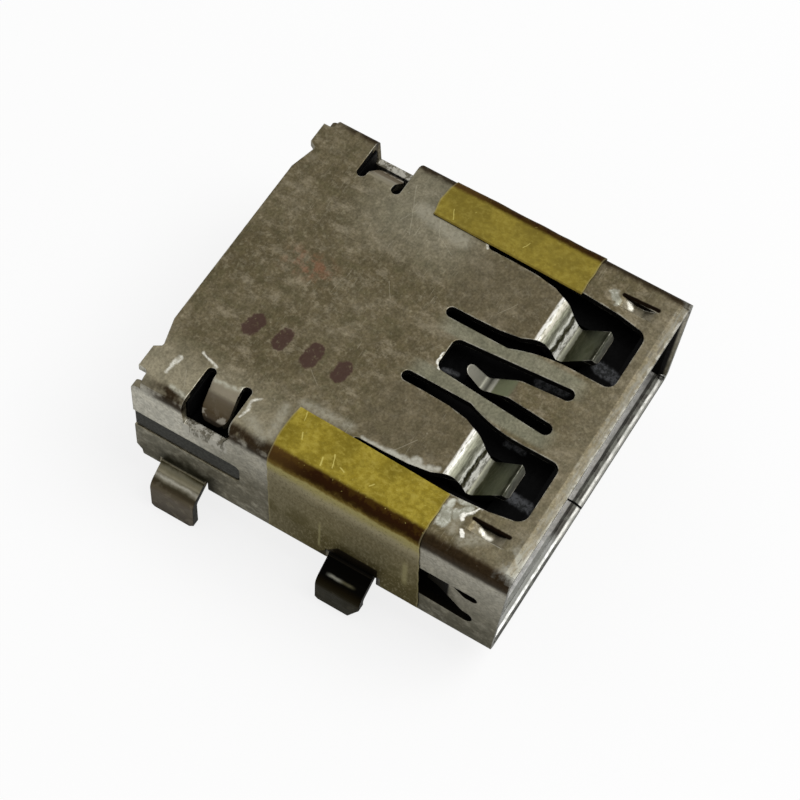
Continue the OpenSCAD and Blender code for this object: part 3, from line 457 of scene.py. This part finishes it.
def steelParts(s, col, cloud, warp):
    # springs, finger, latch tabs and legs; each has its own worn tones, with painted highlights and painted
    # shade along the bends
    top = s.step(s.nz, 0.1, 0.3)
    off = fromMiddle(s)
    streak = s.noise(0.3, 3.0, 0.65, stretch=(1, 5, 1), twist=8, move=(0, 3, 0))
    sway = s.noise(0.42, 3.5, 0.62, move=(0, 0, 7))
    along = s.drift(s.y, s.centred(sway), 0.2)
    # painted highlights and painted shade along each spring's bends
    bent = s.ramp(along, 1.8, 4.2, "spring")
    # a painted highlight over worn metal on the far spring's bend
    farWornGlint = s.all(s.step(s.x, 0.5, 1.0), s.band(along, 3.72, 3.87, 0.02))
    bent = s.paint(bent, farWornGlint, "springFar", 0.8)
    scored = s.blendValue(s.step(s.y, 3.0, 3.2), 0.2, 0.7)
    bent = s.paint(bent, s.all(s.step(streak, 0.48, 0.62), scored), "springStreak")
    green = s.all(s.band(s.y, 2.1, 2.9, 0.1), s.step(cloud, 0.5, 0.7))
    bent = s.paint(bent, green, "springGreen", 0.5)
    springs = s.all(s.band(off, 1.8, 4.35, 0.02), s.band(s.y, 1.7, 4.03, 0.03),
                    s.step(s.z, -1.3, -1.2), top)
    col = s.mix(springs, col, bent)
    # the foot of each spring's steep slope hardly mirrors
    matte = s.all(springs, s.band(s.y, 3.19, 3.53, 0.02))

    finger = s.all(s.step(off, 0.66, 0.62), s.step(s.z, -0.015, -0.05), s.band(s.y, 3.5, 5.6, 0.02),
                   s.step(s.z, -1.1, -1.0), top)
    col = s.mix(finger, col, s.ramp(s.y, 3.4, 5.5, "finger"))

    tab = s.all(s.band(s.wide, 4.9, 6.5, 0.02), s.band(s.y, 11.4, 12.6, 0.02),
                s.band(s.z, -1.4, -0.02, 0.02), top)
    # painted shade darkening each tab toward its foot, and painted glints near its tip
    tabCol = s.ramp(s.z, -1.3, 0.0, "tab")
    worn = s.noise(0.34, 2.5, 0.6, move=(0, 8, 0))
    tabCol = s.paint(tabCol, s.step(cloud, 0.5, 0.7), "tabCloud", 0.3)
    glints = s.all(s.band(s.z, -1.02, -0.84, 0.04), s.step(worn, 0.5, 0.6))
    col = s.mix(tab, col, s.paint(tabCol, glints, "tabGlint", 0.7))
    # the rough cut under the latch window
    sill = s.all(s.band(s.z, -1.72, -1.0, 0.12), s.band(s.y, 11.1, 12.9, 0.05), s.step(s.wide, 6.1, 6.2))
    hatch = s.noise(0.22, 3.0, 0.7, stretch=(1, 1, 0.3), twist=35)
    sillCol = s.paint(s.shade("sillDark"), s.step(hatch, 0.42, 0.56), "sillLight")
    col = s.mix(s.all(sill, 0.9), col, sillCol)

    leg = s.step(s.wide, 6.56, 6.62)
    backLeg = s.all(leg, s.step(s.y, 10.0, 11.0))
    # painted highlight along the back leg's bend and painted shade at its root
    legCol = s.ramp(s.drift(s.z, s.centred(cloud), 0.12), -7.1, -4.6, "backLeg")
    legCol = s.paint(legCol, s.step(worn, 0.52, 0.68), "backLegWorn", 0.35)
    col = s.mix(backLeg, col, legCol)
    frontLeg = s.all(leg, s.step(s.y, 9.0, 8.0))
    darkCol = s.ramp(s.z, -7.0, -4.6, "frontLeg")
    darkCol = s.paint(darkCol, s.all(s.step(worn, 0.54, 0.7), s.step(s.z, -5.6, -5.8)), "frontLegWorn", 0.4)
    glint = s.all(s.band(s.drift(s.z, warp, 0.12), -5.30, -5.25, 0.03), s.band(s.y, 5.55, 6.55, 0.15))
    darkCol = s.mix(glint, darkCol, s.paint(s.shade("glintNear"), s.step(s.y, 5.9, 6.2), "glintFar"))
    col = s.mix(frontLeg, col, darkCol)
    # painted shade on the legs' cut sides and on the wall just above the front legs
    sides = s.all(leg, s.step(s.size(s.ny), 0.6, 0.8))
    root = s.all(s.band(s.y, 4.9, 6.95, 0.04), s.step(s.z, -4.0, -4.1), s.band(s.wide, 6.45, 6.61, 0.02))
    col = s.paint(col, s.most(sides, root), "legShade")

    # painted shade on the side springs' free ends and on the window's cut edges
    inWindow = s.all(s.band(s.wide, 5.7, 6.56, 0.01), s.band(s.z, -4.3, -2.05, 0.02),
                     s.step(s.y, 4.4, 4.3))
    deep = s.most(s.step(s.size(s.nx), 0.75, 0.6), s.all(s.step(s.y, 2.2, 2.7), s.step(s.wide, 6.36, 6.3)))
    return s.paint(col, s.all(inWindow, deep), "window"), matte


def steelMarks(s, col, cloud, onTop, plane):
    # rubbed pale marks, chips, fine scratches, and painted glare and glints
    broken = s.step(s.noise(0.16, 3.0, 0.7), 0.34, 0.6)

    def mark(name, plane, soft, low, high):
        return s.all(s.strokes(plane, topMarks[name], soft), s.blendValue(broken, low, high), onTop)

    col = s.paint(col, mark("soft", plane, 0.2, 0.3, 0.7), "soft")
    col = s.paint(col, mark("pale", plane, 0.07, 0.25, 0.9), "pale")
    # painted glare on crumpled spots beside the lances and the near tape's front end
    glareFlake = mark("glareFlake", s.plan(0.36, 0.3), 0.07, 0.55, 0.9)
    col = s.mix(glareFlake, col, s.paint(s.shade("glareFlakeDim"), s.step(cloud, 0.4, 0.6), "glareFlakeBright"))
    col = s.paint(col, mark("worn", plane, 0.08, 0.65, 1.0), "worn")
    # pale rubbed marks, with painted glints along the second latch slot, on the far lance and by the far
    # tape
    col = s.paint(col, mark("white", plane, 0.045, 0.35, 0.95), "white")
    # painted glints round the near lance's back end, and two white burrs at the middle opening
    glintAndBurr = s.all(s.strokes(s.plan(0.2, 0.16), topMarks["glintAndBurr"], 0.035), onTop,
                   s.blendValue(broken, 0.65, 1.0))
    col = s.paint(col, glintAndBurr, "glintAndBurr")
    fine = s.strokes(s.plan(0.05, 0.5), topMarks["line"], 0.01)
    haze = s.step(s.noise(0.4, 3.0, 0.6, stretch=(0.5, 8, 1), twist=24, move=(3, 1, 0)), 0.6, 0.76)
    crossed = s.noise(0.4, 3.0, 0.6, stretch=(0.5, 8, 1), twist=-48, move=(7, 5, 2))
    haze = s.most(haze, s.step(crossed, 0.62, 0.78))
    backFar = s.all(s.band(s.x, 2.2, 5.4, 0.8), s.band(s.y, 8.2, 11.0, 0.8))
    haze = s.all(haze, s.most(backFar, s.step(s.noise(1.6, 2.0, move=(2, 2, 2)), 0.42, 0.7)))
    fleck = s.step(s.noise(0.18, 2.0, 0.5, move=(4, 4, 4)), 0.73, 0.78)
    scratch = s.most(s.most(s.all(haze, 0.5), s.all(fine, 0.38)), s.all(fleck, 0.25))
    return s.paint(col, s.all(scratch, onTop), "scratch", 0.75), haze


def steelFront(s, col, cloud, warp, onTop):
    # uneven rubbed band along the front edge, drawn out along it
    front = s.drift(s.y, warp, 1.6)
    drawn = s.noise(0.32, 4.0, 0.7, stretch=(0.4, 2.6, 1), move=(2, 0, 0))
    rubbed = s.all(s.step(front, 0.42, 0.2), onTop, s.blendValue(s.step(drawn, 0.4, 0.6), 0.1, 0.9))
    col = s.paint(col, rubbed, "rubbed", 0.65)
    corner = s.all(s.step(s.x, -4.2, -5.4), s.step(front, 0.9, 0.35), onTop, s.step(cloud, 0.42, 0.62))
    col = s.paint(col, corner, "corner", 0.55)
    col = s.paint(col, s.all(s.step(front, 0.4, 0.2), onTop, s.step(drawn, 0.46, 0.36)), "rubbedDark")
    line = s.all(s.step(s.drift(s.y, warp, 0.4), 0.11, 0.04), onTop,
                 s.step(s.noise(0.5, 3.0, 0.7, move=(8, 0, 0)), 0.42, 0.58))
    col = s.paint(col, line, "frontLine", 0.5)
    mouthCut = s.all(s.step(s.ny, -0.5, -0.8), s.step(s.y, 0.7, 0.5))
    return s.mix(mouthCut, col, s.paint(s.shade("cutDark"), s.step(drawn, 0.4, 0.6), "cutLight"))


def steelRims(s, col, corners, plane):
    # worn rims round the openings
    rim = s.all(corners, s.step(s.noise(0.4, 3.0, 0.6), 0.42, 0.62), s.step(s.nz, -0.2, 0.1),
                s.step(s.z, -0.35, -0.2))
    col = s.paint(col, rim, "rim", 0.6)
    # the lances' slits get a painted shadow, and each lowered strip a painted highlight
    sunk = s.all(s.band(s.z, -0.3, -0.05, 0.02), s.step(s.nz, 0.3, 0.5), s.band(s.wide, 4.98, 5.5, 0.02),
                 s.step(s.y, 2.6, 2.5))
    spot = s.most(s.strokes(plane, topMarks["lance"], 0.08), 0.06)
    col = s.paint(col, s.all(sunk, spot), "lance")
    slit = s.strokes(s.plan(0.05, 0.3), topMarks["slit"], 0.03)
    return s.paint(col, s.all(slit, s.step(s.z, -0.3, -0.2), s.step(s.nz, -0.5, -0.2)), "slit")


def inkRow(s):
    # a row of four plain worn blots of ink
    blots = s.strokes(s.plan(0.22, 0.2), topMarks["ink"], 0.05)
    worn = s.step(s.noise(0.16, 3.0, 0.65, move=(9, 2, 0)), 0.26, 0.46)
    return s.all(blots, worn, s.step(s.z, -0.1, -0.03))


def steelMaterial():
    s = Tree("shellSteel", steel)
    # made first, to keep the material within the renderer's stack
    corners = s.edges(0.1)
    cloud = s.noise(0.42, 4.0, 0.6)
    grain = s.noise(0.1, 3.0, 0.6)
    warp = s.all(s.centred(s.noise(0.5, 3.0)), 0.5)
    col = steelBase(s, cloud, warp)
    smudge = s.all(s.band(s.x, 0.1, 1.0, 0.4), s.band(s.y, 11.4, 13.0, 0.5), s.step(cloud, 0.42, 0.6))
    col = s.paint(col, smudge, "smudge", 0.4)
    fineTone = s.mix(s.step(grain, 0.3, 0.7), *steel["fineRange"])
    col = s.mix(1.0, col, fineTone, "MULTIPLY")
    broadTone = s.mix(s.step(cloud, 0.34, 0.66), *steel["broadRange"])
    col = s.mix(1.0, col, broadTone, "MULTIPLY")
    col, insideShade = steelInside(s, col, cloud, warp)
    col, matte = steelParts(s, col, cloud, warp)
    onTop = s.all(s.step(s.z, -0.16, -0.1), s.step(s.nz, 0.3, 0.6))
    plane = s.plan(0.16, 0.22)
    col, haze = steelMarks(s, col, cloud, onTop, plane)
    col = steelFront(s, col, cloud, warp, onTop)
    col = steelRims(s, col, corners, plane)
    ink = inkRow(s)
    col = s.paint(col, ink, "ink", 0.88)

    s.put(s.shader.inputs["Base Color"], col)
    s.put(s.shader.inputs["Metallic"], s.blendValue(s.most(insideShade, matte), *steel["metallic"]))
    s.shader.inputs["Specular IOR Level"].default_value = steel["specular"]
    s.shader.inputs["Specular Tint"].default_value = steel["specularTint"]
    rough = s.math("ADD", steel["roughness"], s.all(s.centred(cloud), 0.35))
    rough = s.drift(rough, s.most(ink, insideShade), 0.2)
    s.put(s.shader.inputs["Roughness"], rough)
    height = s.math("ADD", s.all(grain, 0.5), s.drift(cloud, haze, 0.3))
    s.put(s.shader.inputs["Normal"], s.bump(height, *steel["bump"], s.rounding(0.05)))
    return s.mat


# the insert's plastic, painted near black as shade inside the shell, with painted pools of light on top of
# the tongue
plastic = {
    "insideShade": (5, 5, 5), "light": (10, 10, 10),
    "ribDark": (54, 54, 50), "ribLight": (70, 70, 65),
    "litPatchDark": (44, 45, 45), "litPatchLight": (88, 89, 91),
    "litPatches": [(-3.1, 1.8, -3.15, 1.05, 0.2), (2.95, 1.75, 2.88, 1.05, 0.24), (1.3, 3.2, 1.45, 2.3, 0.2),
               (-1.4, 3.0, -1.38, 2.3, 0.08), (0.0, 6.3, 0.05, 5.85, 0.08)],
    "specular": 0.03,
    "roughness": 0.45,
    "bump": (0.01, 0.5),
}


def plasticMaterial():
    s = Tree("insertPlastic", plastic)
    grain = s.noise(0.12, 3.0, 0.6)
    rubbed = s.step(grain, 0.35, 0.65)
    # painted shade: the plastic inside the shell is near black, while the rib in the wall slot keeps its
    # own grey
    col = s.paint(s.shade("insideShade"), rubbed, "light")
    rib = s.paint(s.shade("ribDark"), rubbed, "ribLight")
    col = s.mix(s.step(s.wide, 6.3, 6.4), col, rib)
    # painted pools of light where light falls through the openings onto the tongue
    litPatch = s.all(s.strokes(s.plan(0.2, 0.2), plastic["litPatches"], 0.08), s.step(s.nz, 0.3, 0.7),
                  s.band(s.z, -1.3, -0.8, 0.1))
    col = s.mix(litPatch, col, s.paint(s.shade("litPatchDark"), rubbed, "litPatchLight"))
    s.put(s.shader.inputs["Base Color"], col)
    s.shader.inputs["Specular IOR Level"].default_value = plastic["specular"]
    s.put(s.shader.inputs["Roughness"], s.drift(plastic["roughness"], grain, 0.2))
    s.put(s.shader.inputs["Normal"], s.bump(grain, *plastic["bump"], s.rounding(0.04)))
    return s.mat


# the contacts: gilt springs with tinned tails
contact = {
    "goldDark": (176, 142, 78), "goldLight": (206, 176, 104),
    "tinDark": (140, 138, 130), "tinLight": (176, 174, 166),
    "metallic": 1.0,
    "roughness": 0.22,
    "bump": (0.01, 0.3),
}


def contactMaterial():
    s = Tree("contactMetal", contact)
    cloud = s.noise(0.3, 3.0, 0.6)
    gold = s.paint(s.shade("goldDark"), s.step(cloud, 0.3, 0.7), "goldLight")
    tin = s.paint(s.shade("tinDark"), s.step(cloud, 0.3, 0.7), "tinLight")
    col = s.mix(s.step(s.y, 13.6, 14.0), gold, tin)
    s.put(s.shader.inputs["Base Color"], col)
    s.shader.inputs["Metallic"].default_value = contact["metallic"]
    s.put(s.shader.inputs["Roughness"], s.drift(contact["roughness"], cloud, 0.25))
    s.put(s.shader.inputs["Normal"], s.bump(cloud, *contact["bump"], s.rounding(0.03)))
    return s.mat


# amber film tape
film = {
    "top": (128, 112, 34), "topLight": (150, 135, 52), "topDark": (100, 87, 24),
    "fleckLight": (160, 146, 68), "fleckDark": (102, 89, 28), "farSide": (104, 92, 48),
    "wall": [(-5.2, (56, 51, 35)), (-3.8, (67, 61, 41)), (-3.3, (94, 88, 67)), (-2.0, (100, 93, 73)),
             (-1.75, (104, 98, 79)), (-1.5, (118, 111, 90)), (-1.26, (138, 131, 108)),
             (-1.05, (144, 137, 108)), (-0.8, (146, 138, 94)), (-0.55, (150, 141, 92)),
             (-0.38, (100, 84, 38)), (-0.22, (54, 38, 9)), (-0.13, (38, 20, 3)), (-0.02, (38, 18, 4)),
             (0.04, (54, 36, 7))],
    "wallGrey": (106, 101, 86), "wallLight": (126, 120, 98), "wallDark": (64, 59, 42),
    "dip": (56, 51, 32), "creaseGlint": (150, 145, 108), "brownerBack": (92, 68, 32), "legShade": (6, 5, 4),
    "mark": (190, 178, 100), "cutEndHighlight": (160, 152, 116), "rim": (70, 56, 20),
    "marks": [(-4.82, 9.03, -4.5, 9.11, 0.015), (-5.5, 8.7, -5.25, 8.83, 0.02),
              (-6.0, 7.65, -5.7, 7.74, 0.025), (-5.86, 7.25, -5.4, 7.43, 0.02),
              (-5.72, 7.05, -5.8, 6.83, 0.02), (-5.8, 5.86, -5.66, 5.77, 0.02),
              (4.9, 8.9, 5.3, 9.1, 0.015), (5.2, 6.2, 5.5, 6.1, 0.015)],
    "shader": {"Metallic": 0.75, "Specular IOR Level": 0.04, "Specular Tint": (0.6, 0.55, 0.4, 1),
               "Roughness": 0.42, "Coat Weight": 0.03, "Coat Roughness": 0.2},
    "bump": (0.03, 0.5),
    "thick": 0.035,
}


def filmWall(s, mottle, broad, warp):
    # over the bare wall the film looks grey and thin; its tones paint a paler sheen on the wall, painted
    # shade toward the foot and a dark brown painted shade along the fold
    uneven = s.all(s.centred(mottle), 0.3)
    down = s.math("ADD", s.drift(s.z, warp, 0.6), uneven)
    col = s.ramp(down, -5.6, 0.05, "wall")
    # greyer toward the back, mottled, with painted glints along a few upright creases
    grey = s.all(s.step(s.y, 7.0, 9.2), s.step(s.z, -0.6, -1.2))
    col = s.paint(col, grey, "wallGrey", 0.5)
    fineMottle = s.noise(0.11, 3.0, 0.7, stretch=(1, 1, 0.6))
    onWall = s.step(s.z, -0.4, -0.8)
    col = s.paint(col, s.all(s.step(fineMottle, 0.5, 0.64), onWall), "wallLight", 0.45)
    col = s.paint(col, s.all(s.step(fineMottle, 0.5, 0.36), onWall), "wallDark", 0.45)
    dip = s.all(s.step(broad, 0.5, 0.38), s.step(s.z, -2.2, -3.4))
    col = s.paint(col, dip, "dip", 0.6)
    creaseGlint = s.all(s.band(s.y, 7.24, 7.32, 0.04), s.band(s.z, -4.6, -2.9, 0.2))
    creaseGlint = s.most(creaseGlint, s.all(s.band(s.y, 3.74, 3.94, 0.07), s.band(s.z, -3.9, -2.3, 0.3)))
    col = s.paint(col, creaseGlint, "creaseGlint", 0.45)
    # browner just under the fold toward the back
    brownerBack = s.all(s.step(s.y, 7.6, 9.2), s.step(s.z, -0.55, -0.4))
    col = s.paint(col, brownerBack, "brownerBack", 0.4)
    # painted shade on the small flap of film above the front leg
    slant = s.drift(s.y, s.z, 0.75)
    root = s.all(s.step(s.y, 4.87, 4.93), s.step(slant, 3.53, 3.46), s.step(s.z, -4.0, -4.08))
    return s.paint(col, root, "legShade")


def filmMaterial():
    s = Tree("filmTape", film)
    mottle = s.noise(0.2, 4.0, 0.72)
    broad = s.noise(1.3, 2.0)
    warp = s.all(s.centred(s.noise(0.8, 3.0)), 0.5)
    col = s.paint(s.shade("top"), s.step(mottle, 0.35, 0.7), "topLight")
    col = s.paint(col, s.step(broad, 0.58, 0.36), "topDark", 0.6)
    flecks = s.noise(0.16, 3.5, 0.66, stretch=(1, 0.7, 1), twist=25, move=(3, 1, 0))
    col = s.paint(col, s.step(flecks, 0.5, 0.66), "fleckLight", 0.4)
    col = s.paint(col, s.step(flecks, 0.5, 0.34), "fleckDark", 0.4)
    col = s.paint(col, s.step(s.x, -1.0, 1.0), "farSide", 0.35)
    wallCol = filmWall(s, mottle, broad, warp)
    over = s.drift(s.wide, s.centred(mottle), 0.2)
    col = s.mix(s.step(over, 6.05, 6.24), col, wallCol)
    # pale bent scratches and specks
    marks = s.strokes(s.plan(0.12, 0.3), film["marks"], 0.015)
    specks = s.step(s.noise(0.12, 2.0), 0.7, 0.78)
    pale = s.all(s.most(s.all(marks, 0.7), s.all(specks, 0.45)), s.step(s.z, -0.1, -0.02))
    col = s.paint(col, pale, "mark")
    # painted highlight along the cut ends, and a dark rim on the inner side
    strip = s.add("Attribute")
    strip.attribute_name = "reach"
    length, across, _ = s.split(strip.outputs["Vector"])
    ends = s.most(s.step(length, 0.011, 0.004), s.step(length, 0.989, 0.996))
    col = s.paint(col, ends, "cutEndHighlight", 0.25)
    rim = s.all(s.step(across, 0.07, 0.03), s.step(s.x, -1.0, 1.0))
    col = s.paint(col, rim, "rim", 0.55)
    s.put(s.shader.inputs["Base Color"], col)
    for socket, value in film["shader"].items():
        s.shader.inputs[socket].default_value = value
    height = s.math("ADD", s.all(mottle, 0.4), broad)
    s.put(s.shader.inputs["Normal"], s.bump(height, *film["bump"]))
    return s.mat


steelMat = steelMaterial()
plasticMat = plasticMaterial()
contactMat = contactMaterial()
filmMat = filmMaterial()


def dress(name, mat):
    data = nodes[name].data
    data.materials.clear()
    data.materials.append(mat)


dress("shell", steelMat)
dress("housing", plasticMat)
for i in range(1, 5):
    dress("contact_%d" % i, contactMat)
print("materials on the CAD nodes")

# tapes, modelled as thin wrinkled film
tapes = {
    "filmLeft": {"node": "tape_left", "side": -1, "y": (3.40, 9.42), "inner": (4.60, 4.44),
                 "skewFoot": (-0.17, -0.06), "backTop": 0.09, "seed": 3},
    "filmRight": {"node": "tape_right", "side": 1, "y": (3.52, 9.62), "inner": (4.63, 4.74),
                  "skewFoot": (-0.05, 0.03), "backTop": 0.13, "seed": 8},
}
# the shape that both tapes follow, in millimetres
bend = {"start": 4.5, "wall": 6.55, "radius": 0.4, "gap": 0.03, "foot": 5.17,
        "legTop": 4.6, "leg": (4.86, 7.12),
        "across": 10, "along": 60, "foldSteps": 10, "wallRows": 24, "smoothAngle": 50,
        "backAt": 5.4, "waves": 7.3, "waveHigh": 0.012,
        "wrinkleSize": 1.1, "wrinkleHigh": 0.05, "wrinkleLevel": 0.45}


def clearPick():
    bpy.ops.object.select_all(action="DESELECT")


def makeTape(name, t):
    clearPick()
    side, r = t["side"], bend["radius"]
    fold = bend["wall"] - r
    y0, y1 = t["y"]
    wide = fold - bend["start"]
    mid = place(side * (bend["start"] + wide / 2), (y0 + y1) / 2, bend["gap"])
    bpy.ops.mesh.primitive_grid_add(x_subdivisions=bend["across"], y_subdivisions=bend["along"],
                                    size=1, location=mid)
    tape = bpy.context.object
    tape.name = name
    tape.scale = (wide * mm, (y1 - y0) * mm, 1)
    bpy.ops.object.transform_apply(location=True, rotation=True, scale=True)
    bpy.ops.object.mode_set(mode="EDIT")
    bpy.ops.mesh.select_mode(type="EDGE")
    bm = bmesh.from_edit_mesh(tape.data)
    outer = side * fold * mm
    for e in bm.edges:
        e.select_set(all(abs(v.co.x - outer) < 0.01 * mm for v in e.verts))
    bm.select_flush_mode()
    bmesh.update_edit_mesh(tape.data)
    # over the fold, then down the wall
    bpy.ops.mesh.spin(steps=bend["foldSteps"], angle=math.radians(90), center=place(side * fold, y0, -r),
                      axis=(0, -side, 0))
    rows = bend["wallRows"]
    drop = (bend["foot"] - r) / rows * mm
    for k in range(rows):
        bpy.ops.mesh.extrude_edges_move(TRANSFORM_OT_translate={"value": (0, 0, -drop)})
    bpy.ops.mesh.select_all(action="SELECT")
    bpy.ops.mesh.remove_doubles(threshold=0.001 * mm)
    bpy.ops.mesh.normals_make_consistent(inside=False)
    # cut out for the front leg
    bpy.ops.mesh.select_mode(type="FACE")
    bpy.ops.mesh.select_all(action="DESELECT")
    bm = bmesh.from_edit_mesh(tape.data)
    legTop = place(0, 0, -bend["legTop"]).z
    a, b = place(0, bend["leg"][0], 0).y, place(0, bend["leg"][1], 0).y
    for f in bm.faces:
        c = f.calc_center_median()
        f.select_set(c.z < legTop and a < c.y < b)
    bmesh.update_edit_mesh(tape.data)
    bpy.ops.mesh.delete(type="FACE")
    # the real strip sits a little askew, and its cut edges aren't straight
    bm = bmesh.from_edit_mesh(tape.data)
    reach = bm.verts.layers.float_vector.new("reach")
    for v in bm.verts:
        x, y, z = v.co.x / mm * side, v.co.y / mm + shellLong / 2, v.co.z / mm - plateHigh
        f = (y - y0) / (y1 - y0)
        inner = t["inner"][0] * (1 - f) + t["inner"][1] * f
        v[reach] = (f, max(0, (x - bend["start"]) / wide), 0)
        if x < fold:
            v.co.x = side * (fold - (fold - x) * (fold - inner) / wide) * mm
        fall = max(0, -z) / bend["foot"]
        shift = (t["skewFoot"][0] * (1 - f) + t["skewFoot"][1] * f) * fall
        shift += t["backTop"] * max(0, 1 - abs(x - bend["backAt"]) / 1.0) * f ** 8
        edge = max(0, abs(f - 0.5) * 2 - 0.9) * 10
        shift += edge * bend["waveHigh"] * math.sin(bend["waves"] * (x + z) + t["seed"])
        v.co.y += shift * mm
    bmesh.update_edit_mesh(tape.data)
    bpy.ops.object.mode_set(mode="OBJECT")
    clouds = bpy.data.textures.new(name + "Clouds", "CLOUDS")
    clouds.noise_scale = bend["wrinkleSize"] * mm
    wrinkle = tape.modifiers.new("wrinkle", "DISPLACE")
    wrinkle.texture = clouds
    wrinkle.texture_coords = "LOCAL"
    wrinkle.strength = bend["wrinkleHigh"] * mm
    wrinkle.mid_level = bend["wrinkleLevel"]
    body = tape.modifiers.new("film", "SOLIDIFY")
    body.thickness = film["thick"] * mm
    body.offset = 0
    bpy.ops.object.modifier_apply(modifier="wrinkle")
    bpy.ops.object.modifier_apply(modifier="film")
    bpy.ops.object.shade_smooth_by_angle(angle=math.radians(bend["smoothAngle"]))
    tape.data.materials.append(filmMat)
    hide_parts(t["node"])
    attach(tape, "root")


for name, t in tapes.items():
    makeTape(name, t)
print("tapes made")

# floor, lamp and world
studio = {
    "floorSize": 0.9,
    "floorTone": (0.93, 0.93, 0.93, 1),
    "floorGlow": 1.04,
    "glowShare": 0.78,
    "white": (1, 1, 1, 1),
    "lampAim": (0.2, -0.42, 0.89),
    "lampTarget": (0, 0, 0.004),
    "lampFar": 0.25,
    "lampSize": 0.16,
    "lampPower": 0.34,
    "worldFill": 0.42,
    "worldSeen": 1.0,
}


def directRays(t):
    # 1 for a ray from the camera, a reflection or a clear piece, 0 for one that lights the part
    path = t.nodes.new("ShaderNodeLightPath")
    total = path.outputs["Is Camera Ray"]
    for kind in ("Is Glossy Ray", "Is Transmission Ray"):
        most = t.nodes.new("ShaderNodeMath")
        most.operation = "MAXIMUM"
        t.links.new(total, most.inputs[0])
        t.links.new(path.outputs[kind], most.inputs[1])
        total = most.outputs[0]
    return total


clearPick()
bpy.ops.mesh.primitive_plane_add(size=studio["floorSize"], location=(0, 0, 0))
floor = bpy.context.object
floor.name = "floor"
floorMat = bpy.data.materials.new("paleFloor")
floorMat.use_nodes = True
ft = floorMat.node_tree
ft.nodes.clear()
floorOut = ft.nodes.new("ShaderNodeOutputMaterial")
matteFloor = ft.nodes.new("ShaderNodeBsdfDiffuse")
matteFloor.inputs[0].default_value = studio["floorTone"]
glow = ft.nodes.new("ShaderNodeEmission")
glow.inputs[0].default_value = studio["white"]
glow.inputs[1].default_value = studio["floorGlow"]
seen = directRays(ft)
share = ft.nodes.new("ShaderNodeMath")
share.operation = "MULTIPLY"
share.inputs[1].default_value = studio["glowShare"]
ft.links.new(seen, share.inputs[0])
both = ft.nodes.new("ShaderNodeMixShader")
ft.links.new(share.outputs[0], both.inputs[0])
ft.links.new(matteFloor.outputs[0], both.inputs[1])
ft.links.new(glow.outputs[0], both.inputs[2])
ft.links.new(both.outputs[0], floorOut.inputs[0])
floor.data.materials.append(floorMat)

lampData = bpy.data.lights.new("softbox", "AREA")
lampData.shape = "SQUARE"
lampData.size = studio["lampSize"]
lampData.energy = studio["lampPower"]
softbox = bpy.data.objects.new("softbox", lampData)
bpy.context.scene.collection.objects.link(softbox)
aim = Vector(studio["lampAim"]).normalized()
softbox.location = Vector(studio["lampTarget"]) + aim * studio["lampFar"]
softbox.rotation_mode = "QUATERNION"
softbox.rotation_quaternion = aim.to_track_quat("Z", "Y")

world = bpy.data.worlds.new("paleRoom")
bpy.context.scene.world = world
world.use_nodes = True
wt = world.node_tree
wt.nodes.clear()
worldOut = wt.nodes.new("ShaderNodeOutputWorld")
backdrop = wt.nodes.new("ShaderNodeBackground")
seen = directRays(wt)
power = wt.nodes.new("ShaderNodeMapRange")
power.inputs["To Min"].default_value = studio["worldFill"]
power.inputs["To Max"].default_value = studio["worldSeen"]
wt.links.new(seen, power.inputs["Value"])
backdrop.inputs[0].default_value = studio["white"]
wt.links.new(power.outputs["Result"], backdrop.inputs[1])
wt.links.new(backdrop.outputs[0], worldOut.inputs[0])
print("floor, lamp and world set")
